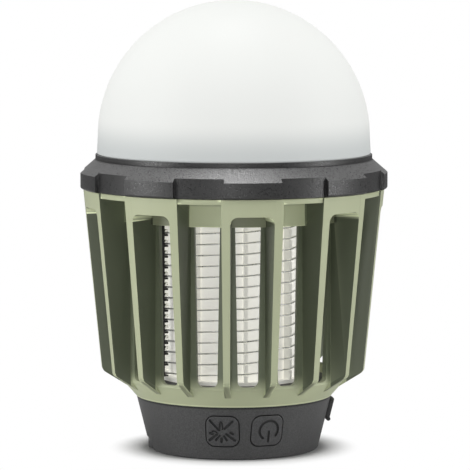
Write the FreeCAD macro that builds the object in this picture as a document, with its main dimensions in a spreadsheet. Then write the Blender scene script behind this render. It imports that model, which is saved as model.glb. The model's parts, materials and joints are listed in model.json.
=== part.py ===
import FreeCAD, Part
import math
import os

import Sketcher

# Lantern-shaped insect killer light bulb, standing on its base.
# The frame has +Z up and its origin at the middle of the base's underside.
# The front, with the two buttons, faces -Y. An azimuth is counted from -Y towards +X.

TURN = 360.0
RIGHT_ANGLE = 90.0
SLACK = 0.01
UP = FreeCAD.Vector(0, 0, 1)

# Each driving dimension: its name, its value in millimetres or degrees, and what it measures.
DIMENSIONS = [
    ("foot_radius", 24.2, "base, outer radius at the foot"),
    ("shoulder_radius", 28.05, "base, outer radius at the shoulder"),
    ("base_height", 15.5, "height of the base's shoulder, where the cage stands"),
    ("base_wall", 2.0, "base, wall of the shell"),
    ("foot_round", 0.8, "base, round of the foot's edge"),
    ("shoulder_depth", 1.3, "base, thickness of the shoulder"),
    ("neck_radius", 26.4, "base, neck that the cage slips over"),
    ("neck_height", 5.0, "base, height of the neck above the shoulder"),
    ("deck_depth", 2.0, "base, thickness of the deck that carries the column"),
    ("deck_bore", 12.0, "base, radius of the hole in the deck"),
    ("ledge_width", 1.6, "base, ledge that the bottom cover is screwed against"),
    ("ledge_depth", 1.2, "base, thickness of that ledge"),
    ("screw_circle", 18.2, "distance of the cover's screws from the axis"),
    ("screw_turn_right", 50.0, "angle from +X of the right pair of screws"),
    ("screw_turn_left", 122.0, "angle from +X of the left pair of screws"),
    ("boss_radius", 2.5, "screw boss, outer radius"),
    ("screw_radius", 0.9, "self-tapping screw, radius of the shank"),
    ("screw_length", 7.0, "self-tapping screw, length under the head"),
    ("screw_head_radius", 1.8, "self-tapping screw, radius of the head"),
    ("screw_head_depth", 0.9, "self-tapping screw, height of the head"),
    ("screw_sink", 0.1, "how deep the screw heads sit below the cover's face"),
    ("slot_width", 0.5, "screw, width of each slot of the cross"),
    ("cover_depth", 1.8, "bottom cover, thickness"),
    ("cover_gap", 0.15, "clearance round the bottom cover"),
    ("tray_wall", 1.6, "bottom cover, wall of the hook's recess"),
    ("tray_depth", 3.8, "bottom cover, depth of the hook's recess"),
    ("hook_gap", 0.8, "clearance between the hook and its recess"),
    ("post_radius", 1.6, "bottom cover, post under the control board"),
    ("post_circle", 17.0, "distance of those posts from the axis"),
    ("notch_width", 10.0, "finger notch beside the hook's tip"),
    ("notch_height", 3.6, "finger notch, height"),
    ("hook_thick", 3.0, "hanging hook, thickness"),
    ("hook_lift", 0.4, "hanging hook, height above the standing surface"),
    ("hook_outer", 9.0, "hanging hook, outer radius of the loop"),
    ("hook_inner", 6.2, "hanging hook, inner radius of the loop"),
    ("hook_middle", 9.6, "distance of the loop's centre from the axis"),
    ("hook_mouth", 60.0, "angle that the hook's mouth takes out of the loop"),
    ("hook_mouth_turn", 62.0, "angle from +X of the middle of the mouth"),
    ("hook_tab_reach", 24.6, "how far the hook's finger tab reaches from the axis"),
    ("hook_tab_width", 6.0, "width of the finger tab"),
    ("shank_width", 5.6, "hanging hook, width of the shank"),
    ("barrel_length", 7.4, "hanging hook, length of the pivot barrel"),
    ("pivot_offset", 8.0, "distance of the hook's pivot from the axis"),
    ("pin_radius", 0.9, "hook pin, radius"),
    ("pin_gap", 0.05, "running clearance of the hook on its pin"),
    ("pin_length", 12.0, "hook pin, length"),
    ("board_depth", 1.6, "circuit boards, thickness"),
    ("board_radius", 20.4, "control board, radius"),
    ("board_level", 8.1, "control board, height of its underside"),
    ("board_gap", 0.4, "clearance between the control board and the screw bosses"),
    ("port_width", 7.6, "charging socket, width"),
    ("port_height", 2.6, "charging socket, height"),
    ("port_length", 5.6, "charging socket, length"),
    ("port_front", 24.2, "charging socket, distance of its mouth from the axis"),
    ("port_metal", 0.35, "charging socket, sheet metal"),
    ("port_round", 0.8, "charging socket, corner round"),
    ("flap_width", 11.2, "port flap, width"),
    ("flap_height", 5.6, "port flap, height"),
    ("flap_proud", 1.3, "port flap, how far it stands off the base"),
    ("flap_round", 1.2, "port flap, corner round"),
    ("flap_seat", 0.1, "gap between the closed flap and the base"),
    ("stem_width", 8.6, "port flap, width of its plug"),
    ("stem_height", 3.4, "port flap, height of its plug"),
    ("stem_depth", 1.2, "port flap, depth of its plug"),
    ("stem_gap", 0.5, "clearance round the flap's plug, which swings out with it"),
    ("button_width", 9.2, "push button, width"),
    ("button_height", 8.8, "push button, height"),
    ("button_round", 2.4, "push button, corner round"),
    ("button_level", 8.45, "push button, height of its middle"),
    ("button_turn", 14.0, "azimuth of each button, left and right of the front"),
    ("button_proud", 0.25, "push button, how far it stands off the base"),
    ("button_gap", 0.25, "clearance round the push button"),
    ("button_lip", 0.75, "push button, width of its retaining lip"),
    ("lip_depth", 0.8, "push button, thickness of its retaining lip"),
    ("lip_gap", 0.3, "clearance between the retaining lip and the wall"),
    ("nub_radius", 1.2, "push button, radius of the nub behind it"),
    ("nub_length", 1.1, "push button, length of that nub"),
    ("button_travel", 0.8, "push button, travel"),
    ("touch_gap", 0.06, "gap between the pressed nub and the switch"),
    ("switch_width", 4.6, "push switch, width"),
    ("switch_height", 3.2, "push switch, height"),
    ("switch_length", 3.4, "push switch, length"),
    ("plunger_radius", 0.9, "push switch, radius of its plunger"),
    ("plunger_length", 0.9, "push switch, length of its plunger"),
    ("transformer_width", 10.0, "boost transformer, width of its core"),
    ("transformer_length", 6.4, "boost transformer, length of its core"),
    ("transformer_height", 7.2, "boost transformer, height"),
    ("winding_radius", 3.9, "boost transformer, radius of its winding"),
    ("capacitor_radius", 2.6, "storage capacitor, radius"),
    ("capacitor_height", 8.0, "storage capacitor, height"),
    ("rear_parts", 15.0, "distance of the transformer from the axis"),
    ("capacitor_side", 12.6, "storage capacitor, distance to the side of the axis"),
    ("capacitor_back", 7.0, "storage capacitor, distance behind the axis"),
    ("cell_radius", 9.2, "battery cell, radius"),
    ("cell_length", 65.0, "battery cell, length"),
    ("cell_edge", 0.6, "battery cell, round of its edges"),
    ("cell_pole_radius", 3.2, "battery cell, radius of its pole"),
    ("cell_pole_height", 0.8, "battery cell, height of its pole"),
    ("carrier_gap", 0.2, "clearance round the battery cell"),
    ("carrier_wall", 1.4, "cell carrier, wall"),
    ("carrier_floor", 1.2, "cell carrier, floor"),
    ("strip_depth", 0.5, "ultraviolet board wrapped round the carrier, thickness"),
    ("strip_start", 26.0, "ultraviolet board, height of its lower edge"),
    ("strip_height", 42.0, "ultraviolet board, height"),
    ("chip_width", 3.5, "light chip, width"),
    ("chip_height", 2.8, "light chip, height"),
    ("chip_depth", 1.2, "light chip, thickness"),
    ("chip_columns", 6.0, "ultraviolet chips in a ring"),
    ("chip_rows", 3.0, "rings of ultraviolet chips"),
    ("tube_radius", 18.8, "light tube, outer radius"),
    ("tube_wall", 1.4, "light tube, wall"),
    ("tube_top", 71.0, "light tube, height of its top"),
    ("grid_radius", 20.9, "wire grid, distance of its corners from the axis"),
    ("grid_sides", 9.0, "wire grid, sides of each turn"),
    ("grid_turn", 2.2, "wire grid, azimuth of the comb nearest the front"),
    ("grid_first", 23.75, "wire grid, height of its lowest wire at that comb"),
    ("grid_spacing", 3.096, "wire grid, distance between neighbouring wires"),
    ("grid_turns", 7.0, "wire grid, turns of each of the two wires"),
    ("wire_radius", 0.24, "wire grid, radius of the wire"),
    ("comb_width", 1.0, "comb that spaces the wires, width"),
    ("comb_reach", 21.35, "comb, distance of its teeth's tips from the axis"),
    ("comb_notch", 0.8, "comb, height of each notch"),
    ("comb_gap", 0.3, "gap between the combs and the light tube"),
    ("comb_floor", 20.3, "comb, distance of the notches' floor from the axis"),
    ("ring_width", 2.5, "grid frame, width of its two rings"),
    ("ring_depth", 1.0, "grid frame, thickness of the lower ring"),
    ("ring_gap", 0.1, "grid frame, clearance round the light tube"),
    ("top_ring_depth", 1.4, "grid frame, thickness of the upper ring"),
    ("terminal_width", 2.4, "terminal comb, width"),
    ("terminal_depth", 1.2, "terminal comb, thickness of its post outside the wires"),
    ("terminal_gap", 0.1, "clearance between the wires and the terminal comb"),
    ("terminal_foot", 0.4, "terminal comb, height of its two feet"),
    ("tooth_height", 0.55, "terminal comb, height of the tooth under each wire"),
    ("tooth_tip", 20.2, "terminal comb, distance of the teeth's tips from the axis"),
    ("cap_radius", 22.0, "column cap, radius"),
    ("cap_depth", 1.5, "column cap, thickness"),
    ("cap_ring_radius", 18.4, "column cap, ring under the lamp board"),
    ("cap_ring_height", 4.6, "column cap, height of that ring"),
    ("cap_ring_wall", 1.4, "column cap, wall of that ring"),
    ("lamp_board_radius", 20.8, "lamp board, radius"),
    ("lamp_chip_circle", 14.0, "lamp board, radius of its ring of chips"),
    ("lamp_chips", 12.0, "lamp board, chips in the ring"),
    ("cage_radius", 33.0, "cage, outer radius of its wall"),
    ("cage_wall", 1.5, "cage, thickness of its wall"),
    ("hub_lip_radius", 28.2, "cage, outer radius of its lower lip"),
    ("hub_top", 21.0, "cage, height where the hub's cone meets the wall"),
    ("hub_floor", 2.0, "cage, upright thickness of the hub's cone"),
    ("hub_gap", 0.3, "clearance between the cage's sleeve and the base's neck"),
    ("sleeve_height", 4.0, "cage, height of the sleeve over the neck"),
    ("fin_count", 18.0, "cage, fins"),
    ("fin_top_radius", 43.1, "cage, reach of the fins at the top"),
    ("fin_foot_radius", 38.0, "cage, reach of the fins at the foot"),
    ("fin_foot_level", 23.0, "cage, height of the fins' lower outer corner"),
    ("fin_round", 2.2, "cage, round of that corner"),
    ("fin_root_radius", 30.8, "cage, where the fins' lower edge meets the hub"),
    ("fin_thick", 2.5, "cage, thickness of a fin at the top"),
    ("fin_thin", 1.8, "cage, thickness of a fin at the foot"),
    ("shelf_level", 74.9, "cage, height of the shelf under the collar"),
    ("flange_radius", 42.5, "cage, radius of the shelf between the frames"),
    ("flange_depth", 1.4, "cage, thickness of that shelf"),
    ("band_radius", 34.4, "cage, radius of the band above the windows"),
    ("bridge_level", 70.1, "cage, underside of the bridge that joins two fins"),
    ("bridge_round", 2.3, "cage, round under the bridge"),
    ("window_top", 66.6, "cage windows, height of the top"),
    ("window_foot", 21.7, "cage windows, height of the foot"),
    ("window_top_width", 7.3, "cage windows, width at the top"),
    ("window_foot_width", 5.8, "cage windows, width at the foot"),
    ("window_round", 1.7, "cage windows, round of the lower corners"),
    ("roof_level", 71.5, "cage, underside of the roof over the grid"),
    ("roof_depth", 1.5, "cage, thickness of that roof"),
    ("roof_bore", 22.6, "cage, radius of the hole in the roof"),
    ("rim_radius", 34.0, "cage, outer radius of the rim inside the collar"),
    ("rim_wall", 2.0, "cage, wall of that rim"),
    ("rim_height", 6.1, "cage, height of that rim above the shelf"),
    ("ledge_reach", 1.6, "bayonet, reach of the ledges on the rim"),
    ("bayonet_depth", 1.6, "bayonet, thickness of the ledges and tabs"),
    ("bayonet_gap", 0.3, "bayonet, clearance"),
    ("bayonet_count", 3.0, "bayonet, ledges and tabs"),
    ("ledge_angle", 24.0, "bayonet, angle of each ledge"),
    ("tab_angle", 18.0, "bayonet, angle of each tab"),
    ("stop_angle", 3.0, "bayonet, angle of each stop"),
    ("lug_count", 9.0, "collar, grip lugs"),
    ("lug_radius", 44.0, "collar, outer radius of the lugs"),
    ("recess_radius", 42.8, "collar, radius of the recesses between the lugs"),
    ("recess_angle", 18.7, "collar, angle of each recess"),
    ("collar_gap", 0.15, "gap between the collar and the cage's shelf"),
    ("lug_top", 79.6, "collar, height of the lugs' upper edge"),
    ("lug_round", 0.6, "collar, round of the lower edge"),
    ("lip_radius", 39.6, "collar, outer radius of the lip round the dome"),
    ("lip_foot", 83.4, "collar, height where the cone meets the lip"),
    ("lip_top", 84.75, "collar, height of the lip's top"),
    ("collar_bore", 36.0, "collar, inner radius"),
    ("seat_level", 80.2, "collar, height of the seat under the dome"),
    ("seal_depth", 0.8, "dome seal, thickness"),
    ("dome_gap", 0.3, "clearance between the dome's skirt and the collar's lip"),
    ("dome_radius", 38.9, "dome, radius of the round top"),
    ("dome_centre", 89.7, "dome, height of the round top's centre"),
    ("dome_step_radius", 39.15, "dome, radius at its lower edge"),
    ("dome_step_level", 84.9, "dome, height of its lower edge"),
    ("dome_wall", 1.8, "dome, wall"),
    ("skirt_wall", 1.4, "dome, wall of the skirt inside the collar"),
    ("seal_circle", 26.2, "neck seal, radius of its middle line"),
    ("seal_radius", 0.45, "neck seal, radius of its section"),
    ("seal_level", 18.0, "neck seal, height"),
    ("seal_gap", 0.1, "clearance round the neck seal in its groove"),
]

doc = FreeCAD.newDocument("insect_killer_light_bulb")
sheet = doc.addObject("Spreadsheet::Sheet", "Sizes")
for row, (alias, value, note) in enumerate(DIMENSIONS, start=1):
    sheet.set("A%d" % row, note)
    sheet.set("B%d" % row, str(value))
    sheet.setAlias("B%d" % row, alias)
doc.recompute()


class Size:
    """A dimension as a formula over the sheet, together with its present value."""

    def __init__(self, text, number):
        self.text = text
        self.number = number

    def __add__(self, other):
        other = as_size(other)
        return Size("(%s + %s)" % (self.text, other.text), self.number + other.number)

    def __sub__(self, other):
        other = as_size(other)
        return Size("(%s - %s)" % (self.text, other.text), self.number - other.number)

    def __mul__(self, other):
        other = as_size(other)
        return Size("(%s * %s)" % (self.text, other.text), self.number * other.number)

    def __truediv__(self, other):
        other = as_size(other)
        return Size("(%s / %s)" % (self.text, other.text), self.number / other.number)

    def __neg__(self):
        return Size("(0 - %s)" % self.text, -self.number)


def as_size(value):
    """A plain number as a Size; a Size stays as it is."""
    if isinstance(value, Size):
        return value
    return Size("%.6f" % value, float(value))


def cell(alias):
    """The Size of one cell of the sheet."""
    return Size("Sizes." + alias, float(sheet.get(alias)))


def bind(feature, prop, size):
    """Bind a property of a feature to a formula over the sheet."""
    feature.setExpression(prop, as_size(size).text)


def direction(azimuth):
    """The level unit vector at an azimuth from -Y towards +X, in degrees."""
    angle = math.radians(azimuth)
    return FreeCAD.Vector(math.sin(angle), -math.cos(angle), 0)


def turned(azimuth):
    """The placement that turns +X to an azimuth."""
    return FreeCAD.Placement(FreeCAD.Vector(0, 0, 0), FreeCAD.Rotation(UP, azimuth - RIGHT_ANGLE))


def new_body(label):
    body = doc.addObject("PartDesign::Body", label)
    body.Label = label
    body.AllowCompound = True
    return body


def new_sketch(body, name, role, offset=0, azimuth=None):
    """A sketch on one of its body's planes, moved off it, or turned about Z to an azimuth."""
    sketch = body.newObject("Sketcher::SketchObject", body.Label + "_" + name)
    plane = [item for item in body.Origin.OriginFeatures if item.Role == role][0]
    sketch.AttachmentSupport = [(plane, "")]
    sketch.MapMode = "FlatFace"
    if azimuth is not None:
        turn = FreeCAD.Rotation(FreeCAD.Vector(0, 1, 0), azimuth - RIGHT_ANGLE)
        sketch.AttachmentOffset = FreeCAD.Placement(FreeCAD.Vector(0, 0, 0), turn)
    else:
        bind(sketch, "AttachmentOffset.Base.z", offset)
    return sketch


def fix_point(sketch, item, end, point):
    """Hold a point of the sketch at the two Sizes of its place."""
    for kind, size in (("DistanceX", point[0]), ("DistanceY", point[1])):
        size = as_size(size)
        number = sketch.addConstraint(Sketcher.Constraint(kind, -1, 1, item, end, size.number))
        bind(sketch, "Constraints[%d]" % number, size)


def outline(sketch, corners):
    """A closed outline through its corners; a corner with a third value is rounded by it."""
    count = len(corners)
    places = [FreeCAD.Vector(as_size(c[0]).number, as_size(c[1]).number, 0) for c in corners]
    entries, exits, rounds = [], [], {}
    for index, corner in enumerate(corners):
        place = places[index]
        if len(corner) < 3:
            entries.append(place)
            exits.append(place)
            continue
        back = (places[index - 1] - place).normalize()
        ahead = (places[(index + 1) % count] - place).normalize()
        half = back.getAngle(ahead) / 2
        cut = corner[2].number / math.tan(half)
        centre = place + (back + ahead).normalize() * (corner[2].number / math.sin(half))
        entries.append(place + back * cut)
        exits.append(place + ahead * cut)
        rounds[index] = centre
    lines = []
    for index in range(count):
        line = Part.LineSegment(exits[index], entries[(index + 1) % count])
        lines.append(sketch.addGeometry(line, False))
    for index, corner in enumerate(corners):
        before, after = lines[index - 1], lines[index]
        if index not in rounds:
            sketch.addConstraint(Sketcher.Constraint("Coincident", before, 2, after, 1))
            fix_point(sketch, after, 1, corner)
            continue
        centre = rounds[index]
        start, end = entries[index] - centre, exits[index] - centre
        anticlockwise = start.cross(end).z > 0
        first, last = (start, end) if anticlockwise else (end, start)
        circle = Part.Circle(centre, UP, corner[2].number)
        low, high = math.atan2(first.y, first.x), math.atan2(last.y, last.x)
        arc = sketch.addGeometry(Part.ArcOfCircle(circle, low, high), False)
        near, far = (1, 2) if anticlockwise else (2, 1)
        sketch.addConstraint(Sketcher.Constraint("Tangent", before, 2, arc, near))
        sketch.addConstraint(Sketcher.Constraint("Tangent", arc, far, after, 1))
        number = sketch.addConstraint(Sketcher.Constraint("Radius", arc, corner[2].number))
        bind(sketch, "Constraints[%d]" % number, corner[2])
        tip = sketch.addGeometry(Part.Point(places[index]), True)
        fix_point(sketch, tip, 1, corner)
        sketch.addConstraint(Sketcher.Constraint("PointOnObject", tip, 1, before))
        sketch.addConstraint(Sketcher.Constraint("PointOnObject", tip, 1, after))
    return sketch


def box_outline(sketch, low_x, low_y, high_x, high_y, corner=None):
    """A rectangle between two corners, with rounded corners where a radius is given."""
    points = [(low_x, low_y), (high_x, low_y), (high_x, high_y), (low_x, high_y)]
    if corner is not None:
        points = [point + (corner,) for point in points]
    return outline(sketch, points)


def circle_outline(sketch, radius, centre=(0, 0)):
    """A circle of a bound radius about a bound centre."""
    place = FreeCAD.Vector(as_size(centre[0]).number, as_size(centre[1]).number, 0)
    item = sketch.addGeometry(Part.Circle(place, UP, as_size(radius).number), False)
    number = sketch.addConstraint(Sketcher.Constraint("Radius", item, as_size(radius).number))
    bind(sketch, "Constraints[%d]" % number, radius)
    fix_point(sketch, item, 3, centre)
    return sketch


def pad(body, sketch, length, middle=False, reverse=False):
    feature = body.newObject("PartDesign::Pad", sketch.Name + "_pad")
    feature.Profile = sketch
    feature.Midplane = middle
    feature.Reversed = reverse
    bind(feature, "Length", length)
    sketch.Visibility = False
    return feature


def pocket(body, sketch, length, middle=False, reverse=False):
    feature = body.newObject("PartDesign::Pocket", sketch.Name + "_pocket")
    feature.Profile = sketch
    feature.Midplane = middle
    feature.Reversed = reverse
    bind(feature, "Length", length)
    return feature


def revolve(body, sketch, angle=TURN, cut=False):
    """Turn a sketch about the upright axis, centred on the sketch where it isn't a full turn."""
    kind = "Groove" if cut else "Revolution"
    feature = body.newObject("PartDesign::" + kind, sketch.Name + "_turn")
    feature.Profile = sketch
    feature.ReferenceAxis = (sketch, ["V_Axis"])
    feature.Midplane = as_size(angle).number < TURN
    bind(feature, "Angle", angle)
    return feature


def ring_pattern(body, features, count, angle=TURN):
    """Copies of features round the upright axis."""
    feature = body.newObject("PartDesign::PolarPattern", features[0].Name + "_ring")
    feature.Originals = features
    feature.Axis = ([item for item in body.Origin.OriginFeatures if item.Role == "Z_Axis"][0], [""])
    bind(feature, "Angle", angle)
    bind(feature, "Occurrences", count)
    body.Tip = feature
    return feature


def fillet(body, radius, wanted):
    """Round the edges of the body's present shape that a test picks."""
    doc.recompute()
    base = body.Tip
    names = ["Edge%d" % (index + 1) for index, edge in enumerate(base.Shape.Edges) if wanted(edge)]
    feature = body.newObject("PartDesign::Fillet", body.Label + "_round")
    feature.Base = (base, names)
    bind(feature, "Radius", radius)
    body.Tip = feature
    return feature


def boolean(kind, label, base, tools):
    """A cut, fusion or common of finished shapes, as a sub-part of its own."""
    result = base
    for index, tool in enumerate(tools):
        last = index == len(tools) - 1
        feature = doc.addObject("Part::" + kind, label if last else "%s_%d" % (label, index))
        feature.Base = result
        feature.Tool = tool
        result = feature
    result.Label = label
    return result


ZERO = as_size(0)
subparts = []


def keep(item):
    """Note a finished sub-part, whose label names its file."""
    subparts.append(item)
    return item


# Heights and radii that several pieces share.
foot_radius = cell("foot_radius")
base_height = cell("base_height")
base_wall = cell("base_wall")
deck_top = base_height + cell("neck_height")
board_top = cell("board_level") + cell("board_depth")
shelf_level = cell("shelf_level")
tube_radius = cell("tube_radius")
cell_bottom = board_top + cell("carrier_floor")
carrier_inner = cell("cell_radius") + cell("carrier_gap")
carrier_outer = carrier_inner + cell("carrier_wall")
port_level = board_top + cell("port_height") / 2
cap_top = cell("tube_top") + cell("cap_depth")
lamp_board_level = cap_top + cell("cap_ring_height")
hook_centre = -cell("hook_middle")
hook_level = cell("hook_lift") + cell("hook_thick") / 2
through_wall = base_wall * 5
switch_level = board_top + cell("switch_height") / 2


def base_radius_at(height):
    """The base's outer radius at a height: a straight taper from the foot to the shoulder."""
    rise = (cell("shoulder_radius") - foot_radius) / base_height
    return foot_radius + rise * height


def base_cone(label, offset):
    """A solid cone that follows the base's taper at a level offset from it."""
    cone = doc.addObject("Part::Cone", label)
    bind(cone, "Radius1", foot_radius + offset)
    bind(cone, "Radius2", cell("shoulder_radius") + offset)
    bind(cone, "Height", base_height)
    return cone


def base_skin(label, outer, inner):
    """A tapered shell beside the base's wall, between two level offsets."""
    return boolean("Cut", label, base_cone(label + "_out", outer), [base_cone(label + "_in", inner)])


def radial_prism(label, width, height, corner, start, length, level, azimuth):
    """A rounded bar that points outwards at an azimuth, centred at a level."""
    body = new_body(label)
    sketch = new_sketch(body, "face", "YZ_Plane", start)
    low, high = level - height / 2, level + height / 2
    box_outline(sketch, -(width / 2), low, width / 2, high, corner)
    pad(body, sketch, length)
    body.Placement = turned(azimuth)
    return body


# Base shell: tapered wall, shoulder, neck and deck, with screw bosses under the deck.
shell = new_body("base_turning")
foot_inner = foot_radius - base_wall
ledge_top = cell("cover_depth") + cell("ledge_depth")
cavity_top = base_height - cell("shoulder_depth")
neck_inner = cell("neck_radius") - base_wall
section = new_sketch(shell, "section", "XZ_Plane")
outline(section, [
    (foot_inner, ZERO),
    (foot_radius, ZERO, cell("foot_round")),
    (cell("shoulder_radius"), base_height),
    (cell("neck_radius"), base_height),
    (cell("neck_radius"), deck_top),
    (cell("deck_bore"), deck_top),
    (cell("deck_bore"), deck_top - cell("deck_depth")),
    (neck_inner, deck_top - cell("deck_depth")),
    (neck_inner, cavity_top),
    (base_radius_at(cavity_top) - base_wall, cavity_top),
    (base_radius_at(ledge_top) - base_wall, ledge_top),
    (foot_inner - cell("ledge_width"), ledge_top),
    (foot_inner - cell("ledge_width"), cell("cover_depth")),
    (foot_inner, cell("cover_depth")),
])
revolve(shell, section)

screw_places = []
for alias in ("screw_turn_right", "screw_turn_left"):
    for side in (1, -1):
        angle = cell(alias).number
        along = Size("(%s * cos(%s))" % (cell("screw_circle").text, cell(alias).text),
                     cell("screw_circle").number * math.cos(math.radians(angle)))
        across = Size("(%d * %s * sin(%s))" % (side, cell("screw_circle").text, cell(alias).text),
                      side * cell("screw_circle").number * math.sin(math.radians(angle)))
        screw_places.append((along, across))

bosses = new_sketch(shell, "bosses", "XY_Plane", cell("cover_depth"))
for place in screw_places:
    circle_outline(bosses, cell("boss_radius"), place)
pad(shell, bosses, deck_top - cell("deck_depth") / 2 - cell("cover_depth"))
pilots = new_sketch(shell, "pilots", "XY_Plane", cell("cover_depth"))
for place in screw_places:
    circle_outline(pilots, cell("screw_radius"), place)
pocket(shell, pilots, cell("screw_length"), reverse=True)
groove = new_sketch(shell, "groove", "XZ_Plane")
groove_half = cell("seal_radius") + cell("seal_gap")
box_outline(groove, cell("seal_circle") - groove_half, cell("seal_level") - groove_half,
            cell("neck_radius") + groove_half, cell("seal_level") + groove_half)
revolve(shell, groove, cut=True)
notch = new_sketch(shell, "notch", "YZ_Plane", ZERO)
box_outline(notch, -(cell("notch_width") / 2), -cell("notch_height"),
            cell("notch_width") / 2, cell("notch_height"))
pocket(shell, notch, cell("shoulder_radius"))

window_grow = cell("button_gap") * 2
windows = []
for name, side in (("lamp", -1), ("power", 1)):
    windows.append(radial_prism(
        "window_" + name, cell("button_width") + window_grow, cell("button_height") + window_grow,
        cell("button_round") + cell("button_gap"), foot_inner - base_wall,
        through_wall, cell("button_level"), side * cell("button_turn").number))
stem_grow = cell("stem_gap") * 2
windows.append(radial_prism(
    "window_port", cell("stem_width") + stem_grow, cell("stem_height") + stem_grow,
    cell("port_round") + cell("stem_gap"), foot_inner,
    through_wall, port_level, RIGHT_ANGLE))
keep(boolean("Cut", "base_shell", shell, windows))


# Bottom cover: a disc with the hook's recess, its pin holes and the board's posts.
cover = new_body("bottom_cover")
cover_radius = foot_inner - cell("cover_gap")
gap = cell("hook_gap")
recess_half = cell("barrel_length") / 2 + gap
recess_end = cell("pivot_offset") + cell("hook_thick") / 2 + gap
disc = new_sketch(cover, "disc", "XY_Plane")
circle_outline(disc, cover_radius)
pad(cover, disc, cell("cover_depth"))
for name, grow in (("loop", cell("hook_outer") + gap), ("slot", None)):
    tray = new_sketch(cover, "tray_" + name, "XY_Plane")
    if grow is not None:
        circle_outline(tray, grow + cell("tray_wall") / 2, (hook_centre, ZERO))
    else:
        half = recess_half + cell("tray_wall")
        box_outline(tray, hook_centre, -half, recess_end + cell("tray_wall"), half)
    pad(cover, tray, cell("tray_depth") + cell("tray_wall"))
posts = new_sketch(cover, "posts", "XY_Plane")
for place in ((ZERO, cell("post_circle")), (ZERO, -cell("post_circle")), (cell("post_circle"), ZERO)):
    circle_outline(posts, cell("post_radius"), place)
pad(cover, posts, cell("board_level"))
for name in ("loop", "slot", "notch"):
    recess = new_sketch(cover, "recess_" + name, "XY_Plane")
    if name == "loop":
        circle_outline(recess, cell("hook_outer") + gap, (hook_centre, ZERO))
    elif name == "slot":
        box_outline(recess, hook_centre, -recess_half, recess_end, recess_half)
    else:
        half = cell("notch_width") / 2
        box_outline(recess, -foot_radius, -half, hook_centre, half)
    depth = cell("notch_height") if name == "notch" else cell("tray_depth")
    pocket(cover, recess, depth, reverse=True)
pin_holes = new_sketch(cover, "pin_holes", "XZ_Plane")
circle_outline(pin_holes, cell("pin_radius"), (cell("pivot_offset"), hook_level))
pocket(cover, pin_holes, cell("pin_length"), middle=True)
holes = new_sketch(cover, "screw_holes", "XY_Plane")
for place in screw_places:
    circle_outline(holes, cell("screw_radius") + cell("cover_gap"), place)
pocket(cover, holes, cell("cover_depth"), reverse=True)
sinks = new_sketch(cover, "screw_sinks", "XY_Plane")
for place in screw_places:
    circle_outline(sinks, cell("screw_head_radius") + cell("cover_gap"), place)
pocket(cover, sinks, cell("screw_sink") + cell("screw_head_depth"), reverse=True)
keep(cover)

# Cover screws: pan heads with a cross, sunk in the cover, and plain shanks in the bosses.
screws = new_body("cover_screws")
heads = new_sketch(screws, "heads", "XY_Plane", cell("screw_sink"))
shanks = new_sketch(screws, "shanks", "XY_Plane", cell("screw_sink") + cell("screw_head_depth") / 2)
for place in screw_places:
    circle_outline(heads, cell("screw_head_radius"), place)
    circle_outline(shanks, cell("screw_radius"), place)
pad(screws, heads, cell("screw_head_depth"))
pad(screws, shanks, cell("screw_length"))
half_slot = cell("slot_width") / 2
for name in ("slot_x", "slot_y"):
    cross = new_sketch(screws, name, "XY_Plane")
    wide, tall = cell("screw_radius"), half_slot
    if name == "slot_y":
        wide, tall = tall, wide
    for across, along in screw_places:
        box_outline(cross, across - wide, along - tall, across + wide, along + tall)
    pocket(screws, cross, cell("screw_sink") + cell("screw_head_depth") / 2, reverse=True)
keep(screws)

# Hanging hook, folded flat: an open loop with a finger tab, a shank and a pivot barrel.
hook = new_body("hanging_hook")
loop = new_sketch(hook, "loop", "XY_Plane", cell("hook_lift"))
circle_outline(loop, cell("hook_outer"), (hook_centre, ZERO))
pad(hook, loop, cell("hook_thick"))
shank = new_sketch(hook, "shank", "XY_Plane", cell("hook_lift"))
half_shank = cell("shank_width") / 2
box_outline(shank, hook_centre, -half_shank, cell("pivot_offset"), half_shank)
pad(hook, shank, cell("hook_thick"))
tab = new_sketch(hook, "tab", "XY_Plane", cell("hook_lift"))
half_tab = cell("hook_tab_width") / 2
box_outline(tab, -cell("hook_tab_reach"), -half_tab, hook_centre, half_tab, cell("hook_thick") / 2)
pad(hook, tab, cell("hook_thick"))
eye = new_sketch(hook, "eye", "XY_Plane", cell("hook_lift"))
circle_outline(eye, cell("hook_inner"), (hook_centre, ZERO))
pocket(hook, eye, cell("hook_thick"), reverse=True)
mouth = new_sketch(hook, "mouth", "XY_Plane", cell("hook_lift"))
mouth_sides = []
reach = cell("hook_outer") * 2
for side in (-1, 1):
    turn = cell("hook_mouth_turn") + cell("hook_mouth") / 2 * side
    mouth_sides.append((
        hook_centre + reach * Size("cos(%s)" % turn.text, math.cos(math.radians(turn.number))),
        reach * Size("sin(%s)" % turn.text, math.sin(math.radians(turn.number)))))
outline(mouth, [(hook_centre, ZERO), mouth_sides[0], mouth_sides[1]])
pocket(hook, mouth, cell("hook_thick"), reverse=True)
barrel = new_sketch(hook, "barrel", "XZ_Plane")
circle_outline(barrel, cell("hook_thick") / 2, (cell("pivot_offset"), hook_level))
pad(hook, barrel, cell("barrel_length"), middle=True)
bore = new_sketch(hook, "bore", "XZ_Plane")
circle_outline(bore, cell("pin_radius") + cell("pin_gap"), (cell("pivot_offset"), hook_level))
pocket(hook, bore, cell("barrel_length") * 2, middle=True)
keep(hook)

# Hook pin: a plain rod across the recess.
pin = new_body("hook_pin")
rod = new_sketch(pin, "rod", "XZ_Plane")
circle_outline(rod, cell("pin_radius"), (cell("pivot_offset"), hook_level))
pad(pin, rod, cell("pin_length"), middle=True)
keep(pin)

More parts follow.
